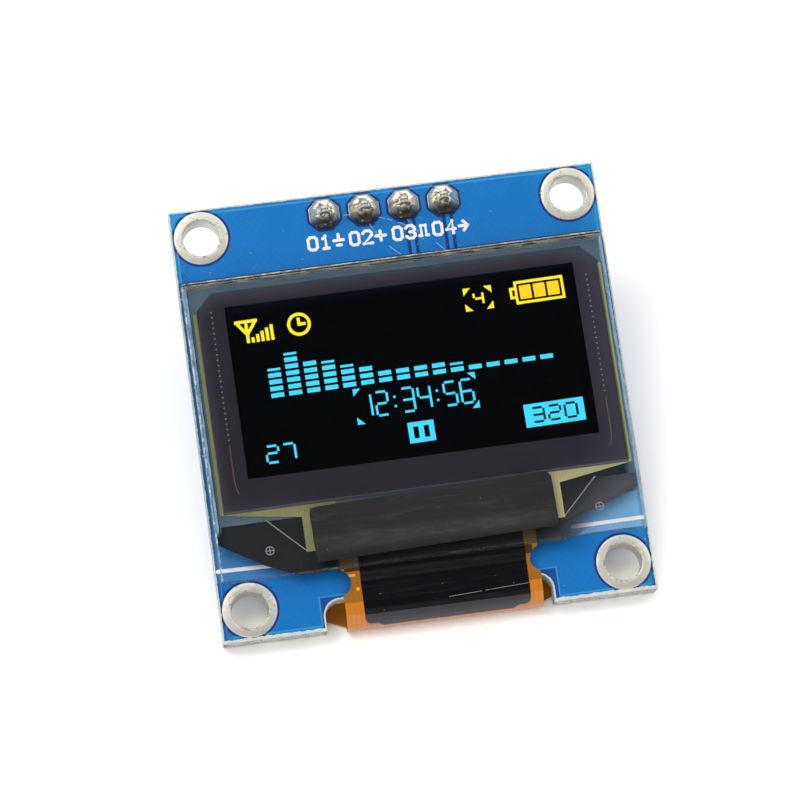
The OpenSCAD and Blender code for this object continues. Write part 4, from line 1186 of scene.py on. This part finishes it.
# Signs of the printed labels, on a grid four wide and six high
label_signs = {
    "0": [[(1, 0), (0, 1), (0, 5), (1, 6), (3, 6), (4, 5), (4, 1), (3, 0), (1, 0)]],
    "1": [[(0.8, 4.8), (2, 6), (2, 0)], [(0.8, 0), (3.2, 0)]],
    "2": [[(0, 5), (1, 6), (3, 6), (4, 5), (4, 3.8), (0, 0), (4, 0)]],
    "3": [[(0, 5), (1, 6), (3, 6), (4, 5), (4, 4), (3, 3), (1.6, 3)],
          [(3, 3), (4, 2), (4, 1), (3, 0), (1, 0), (0, 1)]],
    "4": [[(3, 0), (3, 6), (0, 2), (4, 2)]],
    "5": [[(4, 6), (0, 6), (0, 3.4), (3, 3.4), (4, 2.6), (4, 1), (3, 0), (1, 0), (0, 1)]],
    "ground": [[(2, 6), (2, 3.2)], [(-0.2, 3.2), (4.2, 3.2)], [(1.1, 0.9), (2.9, 0.9)]],
    "plus": [[(2, 5.2), (2, 0.8)], [(-0.2, 3), (4.2, 3)]],
    "pulse": [[(0, 0.6), (0.9, 0.6), (0.9, 5.4), (3.1, 5.4), (3.1, 0.6), (4, 0.6)]],
    "arrow": [[(0, 3), (4, 3)], [(2, 5.2), (4, 3), (2, 0.8)]],
}


def label_paths(signs, centre_x, centre_y, height, pitch, flip=1):
    """Paths of a row of signs round a centre; flip is -1 on the back face."""
    unit = height / 6
    start = -pitch * (len(signs) - 1) / 2
    paths = []
    for place, sign in enumerate(signs):
        for path in label_signs[sign]:
            paths.append([(centre_x + flip * (start + place * pitch + (px - 2) * unit),
                           centre_y + (py - 3) * unit) for px, py in path])
    return paths


print_high = 0.012
print_lift = 0.004
front_z = face_z + print_lift
label_y = 10.77
label_h = 0.82
front_labels = []
for number, sign, centre_x in (("1", "ground", -3.95), ("2", "plus", -1.27),
                               ("3", "pulse", 1.48), ("4", "arrow", 4.05)):
    front_labels += label_paths(("0", number, sign), centre_x, label_y, label_h, 0.83)
print_on("pin_labels", front_labels, white_print, "board", 0.21, print_high, front_z)

silk_y = -9.36
edge_x = board_high.x - 0.25
print_on("front_bars", [[(-edge_x, silk_y), (-8.9, silk_y - 0.06)],
                        [(8.9, silk_y - 0.02), (edge_x, silk_y + 0.02)]],
         bar_print, "board", 0.26, print_high, front_z)

# Covered tracks, rings and print on the back, round the parts that stand there
back_z = board_low.z - print_lift
back_y = -8.35
track_turns = [
    [(-1.27, 11.4), (-1.27, 9.6), (-4.2, 6.67), (-4.2, 6.1)],
    [(1.27, 11.4), (1.27, 6.1)],
    [(3.81, 11.4), (3.81, 6.1)],
    [(1.2, 4.7), (1.2, 2.3), (0.3, 1.4), (0.3, back_y)],
    [(3.9, 4.7), (3.9, 3.4), (0.93, 0.43), (0.93, back_y)],
    [(6.6, 6.1), (6.6, 7.3), (9.3, 7.3), (9.3, 6.1)],
    [(6.6, 4.7), (6.6, 1.3), (4.4, -0.9), (4.4, -1.6)],
    [(9.3, 4.7), (9.3, 2.6), (11.3, 0.6), (11.3, -5.4), (8.7, -8.0), (8.7, back_y)],
    [(8.05, -1.6), (8.05, -0.4), (9.6, -0.4), (9.6, -1.1)],
    [(9.6, -2.5), (9.6, -4.0), (7.4, -6.2), (7.4, back_y)],
    [(-2.4, -6.3), (-2.4, back_y)],
    [(3.4, -6.3), (3.4, back_y)],
    [(-2.4, -4.9), (-2.4, -3.5)],
    [(3.4, -4.9), (3.4, -3.5)],
    [(-10.3, 4.7), (-10.3, 0.6), (-6.0, -3.7), (-6.0, back_y)],
    [(-8.5, 6.3), (-9.5, 7.3), (-10.3, 7.3), (-10.3, 6.1)],
    [(-8.5, 4.5), (-8.5, 1.8), (-4.9, -1.8), (-4.9, back_y)],
    [(-5.9, 5.4), (-5.2, 5.4), (-5.2, 3.6), (-4.2, 3.6), (-4.2, 4.7)],
    [(-3.81, 11.4), (-3.81, 9.9), (-7.5, 9.9), (-8.9, 8.5)],
]
print_on("back_tracks", track_turns, track_mask, "board", 0.26, print_high, back_z)

via_points = [(-2.4, -3.4), (3.4, -3.4), (-8.9, 8.5), (11.3, 0.6), (-0.5, 2.6), (6.9, -4.4)]
via_points += [(-8.3 + (i % 4) * 0.62, -6.2 - (i // 4) * 0.75) for i in range(11)]
via_points += [(x, 6.8 - 3.2 * row) for x in (-12.3, 12.3) for row in range(5)]
vias_tree.grow("back_vias", points_mesh("back_vias", [(x, y, back_z) for x, y in via_points]),
               track_mask, "board",
               {"Ring radius": 0.24 * MM, "Rim": 0.09 * MM, "Flatness": 0.12})


def frame_path(node, gap):
    """Closed path round a node on the back."""
    low, high = span_of(node)
    a, b = (low.x - gap, low.y - gap), (high.x + gap, high.y + gap)
    return [a, (b[0], a[1]), b, (a[0], b[1]), a]


back_print = [frame_path(f"capacitor_ends_{i}", 0.28) for i in range(1, 6)]
back_print += [frame_path(f"resistor_ends_{i}", 0.28) for i in range(1, 5)]
back_print += [frame_path("regulator_body", 0.12), frame_path("diode_body", 0.12)]
diode_low, diode_high = span_of("diode_body")
back_print.append([(diode_high.x - 0.25, diode_low.y - 0.12),
                   (diode_high.x - 0.25, diode_high.y + 0.12)])
for i in range(1, 6):
    low, high = span_of(f"capacitor_ends_{i}")
    back_print += label_paths((str(i),), (low.x + high.x) / 2, high.y + 0.95, 0.8, 0.8, -1)
for i in range(1, 5):
    low, high = span_of(f"resistor_ends_{i}")
    back_print += label_paths((str(i),), (low.x + high.x) / 2, low.y - 0.95, 0.8, 0.8, -1)
    pin = pin_centres[i - 1]
    back_print += label_paths(("0", str(i)), pin.x, 10.4, 0.9, 0.85, -1)
strip_low, strip_high = span_of("header_strip")
strip_left, strip_right = strip_low.x - 0.15, strip_high.x + 0.15
back_print.append([(strip_left, board_high.y - 0.2), (strip_left, strip_low.y - 0.15),
                   (strip_right, strip_low.y - 0.15), (strip_right, board_high.y - 0.2)])
print_on("back_print", back_print, white_print, "board", 0.14, print_high, back_z)

# ---- Display ------------------------------------------------------------------

edged("mounting_tape", "foam_pad", foam_tape, 0.02, 0.003)
edged("cap_glass", "cover_glass", back_glass, 0.05, 0.004)
edged("front_glass", "display_glass", front_glass, 0.13, 0.012)
edged("polariser", "smoky_film", polariser_film, 0.03, 0.003)
dress("getter_sheet", getter)
dress("pixel_layer", dark_layer)
dress("yellow_pixels", yellow_light)
dress("blue_pixels", blue_light)
dress("electrode_traces", electrode_metal)
dress("ledge_film", black_film)
edged("shield_tape", "ledge_tape", black_tape, 0.02)

film_piece_low, film_piece_high = span_of("ledge_film")


def film_flap(name, left, right, low):
    """Narrow strip of the black film between its window and an edge of the flex."""
    top, cut = -8.3, 0.05
    outline = [(left, low), (right - cut, low), (right, low + cut), (right, top), (left, top)]
    shape = bmesh.new()
    under, over = [[shape.verts.new((x, y, z)) for x, y in outline]
                   for z in (film_piece_low.z + 0.004, film_piece_high.z - 0.004)]
    shape.faces.new(under)
    shape.faces.new(over)
    wall(shape, under, over)
    piece_from(name, mesh_of(shape, name, False), black_film)


film_flap("film_flap_left", neck_left - 0.86, neck_left - 0.03, film_piece_low.y + 0.03)
film_flap("film_flap_right", neck_right + 0.012, neck_right + 0.32, film_piece_low.y + 0.12)
edged("driver_chip", "bare_driver", driver_silicon, 0.02)

seal_low, seal_high = span_of("seal_frame")
film_low, film_high = span_of("polariser")


def seal_glue():
    """Glue frame that fills the margin from the polariser's outline to the lit area."""
    half_w, half_h = true_size(film_low, film_high)
    lit_half_w, lit_half_h = true_size(lit_low, lit_high)
    middle_u = (film_low.x + film_high.x) / 2
    middle_v = (film_low.y + film_high.y) / 2 - display_y
    lit_u = lit_centre.x
    lit_v = lit_centre.y - display_y
    left, right = middle_u - half_w + 0.02, middle_u + half_w - 0.02
    low, top = middle_v - half_h + 0.02, middle_v + half_h - 0.02
    cut = 1.05
    outer = [(left, low), (right, low), (right, top - cut), (right - cut, top),
             (left + cut, top), (left, top - cut)]
    a, b = lit_half_w + 0.01, lit_half_h + 0.01
    inner = [(lit_u - a, lit_v - b), (lit_u + a, lit_v - b), (lit_u + a, lit_v + b - 0.4),
             (lit_u + a, lit_v + b), (lit_u - a, lit_v + b), (lit_u - a, lit_v + b - 0.4)]
    shape = bmesh.new()
    rings = [[shape.verts.new((*on_glass(u, v), z)) for u, v in outline]
             for outline, z in ((outer, seal_low.z), (outer, seal_high.z),
                                (inner, seal_high.z), (inner, seal_low.z))]
    for ring, beyond in zip(rings, rings[1:] + rings[:1]):
        wall(shape, ring, beyond)
    piece = piece_from("seal_glue", mesh_of(shape, "seal_glue", False), seal)
    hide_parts("seal_frame")


seal_glue()

# Rows of contact dots in the two side margins, each with a plain line below them
margin_u, margin_shift, margin_top, margin_pitch, margin_rows = 11.9, 0.2, 7.7, 0.345, 25
margin_z = seal_high.z + 0.005
dot_points = []
gold_paths = []
for side in (-1, 1):
    u = margin_shift + side * margin_u
    for row in range(side + 1, margin_rows):
        dot_points.append((*on_glass(u, margin_top - row * margin_pitch), margin_z))
    gold_paths.append([on_glass(u, v) for v in (-0.95, -1.8, -2.8)]
                      + [on_glass(u - side * 0.02, -3.4), on_glass(u - side * 0.09, -3.8),
                         on_glass(u - side * 0.2, -4.05)])
squares_tree.grow("margin_dots", points_mesh("margin_dots", dot_points), margin_dots, "trace_metal",
                  {"Square width": 0.09 * MM, "Layer height": 0.006 * MM, "Turn": display_turn})
print_on("margin_lines", gold_paths, margin_gold, "trace_metal", 0.06, 0.004, margin_z)

# Strokes of a figure: top, upper sides, middle, lower sides, bottom
figure_strokes = {
    "0": "tlrLRb", "1": "rR", "2": "trmLb", "3": "trmRb", "4": "lmrR",
    "5": "tlmRb", "6": "tlmLRb", "7": "trR", "8": "tlrmLRb", "9": "tlrmRb",
}


def figure_squares(figure, wide, high):
    """Lit squares of one figure, counted from its lower left."""
    if figure == ":":
        return {(wide // 2, high // 3), (wide // 2, high - 1 - high // 3)}
    middle = high // 2
    strokes = figure_strokes[figure]
    lit = set()
    for mark, row in (("t", high - 1), ("m", middle), ("b", 0)):
        if mark in strokes:
            lit |= {(column, row) for column in range(1, wide - 1)}
    for upper, lower, column in (("l", "L", 0), ("r", "R", wide - 1)):
        if upper in strokes:
            lit |= {(column, row) for row in range(middle + 1, high - 1)}
        if lower in strokes:
            lit |= {(column, row) for row in range(1, middle)}
        if upper in strokes and lower in strokes:
            lit.add((column, middle))
    return lit


def figures(name, text, centre_u, centre_v, wide, high, finish, slot, z, step):
    """Figures made of small squares in the lit picture."""
    squares = set()
    advance = 0
    for figure in text:
        width = 3 if figure == ":" else wide
        squares |= {(column + advance, row) for column, row in
                    figure_squares(figure, width, high)}
        advance += width + 1
    total = advance - 1
    c, s = math.cos(picture_turn), math.sin(picture_turn)
    points = []
    for column, row in sorted(squares):
        u = centre_u + (column - (total - 1) / 2) * step
        v = centre_v + (row - (high - 1) / 2) * step
        points.append((lit_centre.x + u * c - v * s, lit_centre.y + u * s + v * c, z))
    squares_tree.grow(name, points_mesh(name, points), finish, slot,
                      {"Square width": step * 0.97 * MM, "Layer height": mark_high * MM,
                       "Turn": picture_turn})


mark_high = 0.018
mark_z = span_of("blue_pixels")[1].z - mark_high / 2 - 0.0005
figures("title_figures", "12:34:56", 0, -1.85, 6, 11, blue_light, "blue_light", mark_z, 0.15)
figures("low_figures", "27", -8.9, -4.06, 6, 8, blue_light, "blue_light", mark_z, 0.15)
figures("sign_figure", "4", 4.9, 3.95, 5, 7, yellow_light, "yellow_light", mark_z, 0.14)
figures("box_figures", "320", 8.45, -4.0, 6, 7, dark_layer, "dark_layer", mark_z + 0.003, 0.15)

# ---- Flex tail ----------------------------------------------------------------

dress("flex_tail", flex_amber)
dress("flex_cover", flex_cover_black)
dress("flex_solder", dull_solder)

# ---- Parts on the back --------------------------------------------------------

for i in range(1, 6):
    edged(f"capacitor_{i}", f"capacitor_body_{i}", capacitor_ceramic, 0.05)
    edged(f"capacitor_ends_{i}", f"capacitor_caps_{i}", end_metal, 0.03)
for i in range(1, 5):
    edged(f"resistor_{i}", f"resistor_body_{i}", resistor_ceramic, 0.03)
    edged(f"resistor_ends_{i}", f"resistor_caps_{i}", end_metal, 0.02)
for part in ("regulator", "diode"):
    edged(f"{part}_body", f"{part}_case", moulded_black, 0.05)
    edged(f"{part}_leads", f"{part}_legs", end_metal, 0.02)
dress("component_solder", dull_solder)

# ---- Stage --------------------------------------------------------------------


def floor():
    """Plain pale floor under the pin tips and the board's lower edge, white and with a shadow.

    The module leans on both, so the floor slopes; from behind, the camera sees through it."""
    tip = span_of("header_pin_1")[0]
    near_y, far_y = board_low.y, pin_y - 0.15
    slope = (tip.z - board_low.z) / (far_y - near_y)
    shape = bmesh.new()
    reach = 1200
    corners = [shape.verts.new((sx * reach, sy * reach,
                                board_low.z - 0.03 + (sy * reach - near_y) * slope))
               for sx, sy in ((-1, -1), (1, -1), (1, 1), (-1, 1))]
    shape.faces.new(corners)
    bmesh.ops.scale(shape, vec=(MM,) * 3, verts=shape.verts)
    mesh = bpy.data.meshes.new("floor")
    shape.to_mesh(mesh)
    shape.free()
    plane = placed("floor", mesh)
    paper = bpy.data.materials.new("pale_paper")
    paper.use_nodes = True
    shading = Shading(paper.node_tree)
    camera_ray, glossy_ray, clear_ray = shading.rays("Camera", "Glossy", "Transmission")
    seen = camera_ray.most(glossy_ray).most(clear_ray)
    behind = shading.node("ShaderNodeNewGeometry", None, None, "Backfacing") * camera_ray
    lit = shading.node("ShaderNodeBsdfDiffuse", None, {"Color": (0.8, 0.8, 0.8, 1.0)})
    pale = shading.node("ShaderNodeBsdfDiffuse", None, {"Color": (1.37, 1.36, 1.34, 1.0)})
    mixed = shading.node("ShaderNodeMixShader", None, {0: seen, 1: lit, 2: pale})
    clear = shading.node("ShaderNodeBsdfTransparent")
    shown = shading.node("ShaderNodeMixShader", None, {0: behind, 1: mixed, 2: clear})
    shading.node("ShaderNodeOutputMaterial", None, {"Surface": shown})
    mesh.materials.append(paper)


def surroundings():
    """White behind the module, even grey light, and soft boxes for the metal to mirror."""
    world = bpy.data.worlds.new("studio")
    world.use_nodes = True
    scene.world = world
    shading = Shading(world.node_tree)
    camera_ray, glossy_ray, clear_ray = shading.rays("Camera", "Glossy", "Transmission")
    direction = shading.node("ShaderNodeTexCoord", None, None, "Generated")
    x, y, z = shading.parts(direction)
    overhead = 1 - shading.ease(z, 0.84, 0.95)
    far_side = shading.ease(y * 0.9 - x * 0.2, -0.6, 0.6)
    boxes = shading.ease(z, -0.05, 0.45)
    mirrored = 0.02 + overhead * (0.04 + 0.35 * far_side + boxes * (0.16 + 0.7 * far_side))
    white = camera_ray.most(clear_ray)
    level = 0.7 * (1 - glossy_ray) + mirrored * glossy_ray
    strength = level * (1 - white) + white
    background = shading.node("ShaderNodeBackground", None, {"Strength": strength})
    shading.node("ShaderNodeOutputWorld", None, {"Surface": background})


def soft_box(name, place, watts, size):
    """Square lamp that faces the module."""
    light = bpy.data.lights.new(name, "AREA")
    light.energy = watts
    light.size = size
    lamp = placed(name, light)
    lamp.location = place
    lamp.rotation_euler = (-Vector(place)).to_track_quat("-Z", "Y").to_euler()


def camera():
    """Long lens a little to the left of and below the module's middle."""
    lens = bpy.data.cameras.new("camera")
    lens.sensor_width = 36.0
    lens.lens = 171.9
    lens.clip_start = 0.01
    viewer = placed("camera", lens)
    stand = Vector((-18.20, -50.27, 235.61)) * MM
    turn = Vector((-0.2159, 0.0595, 0.1319))
    viewer.matrix_world = (Matrix.Translation(stand)
                           @ Matrix.Rotation(turn.length, 4, turn.normalized()).inverted())
    scene.camera = viewer


floor()
surroundings()
soft_box("main_box", (-0.18, 0.22, 0.34), 0.62, 0.24)
soft_box("right_box", (0.26, 0.12, 0.30), 0.3, 0.24)
soft_box("low_box", (-0.14, -0.26, 0.30), 0.25, 0.24)
camera()

scene.view_settings.view_transform = "Standard"
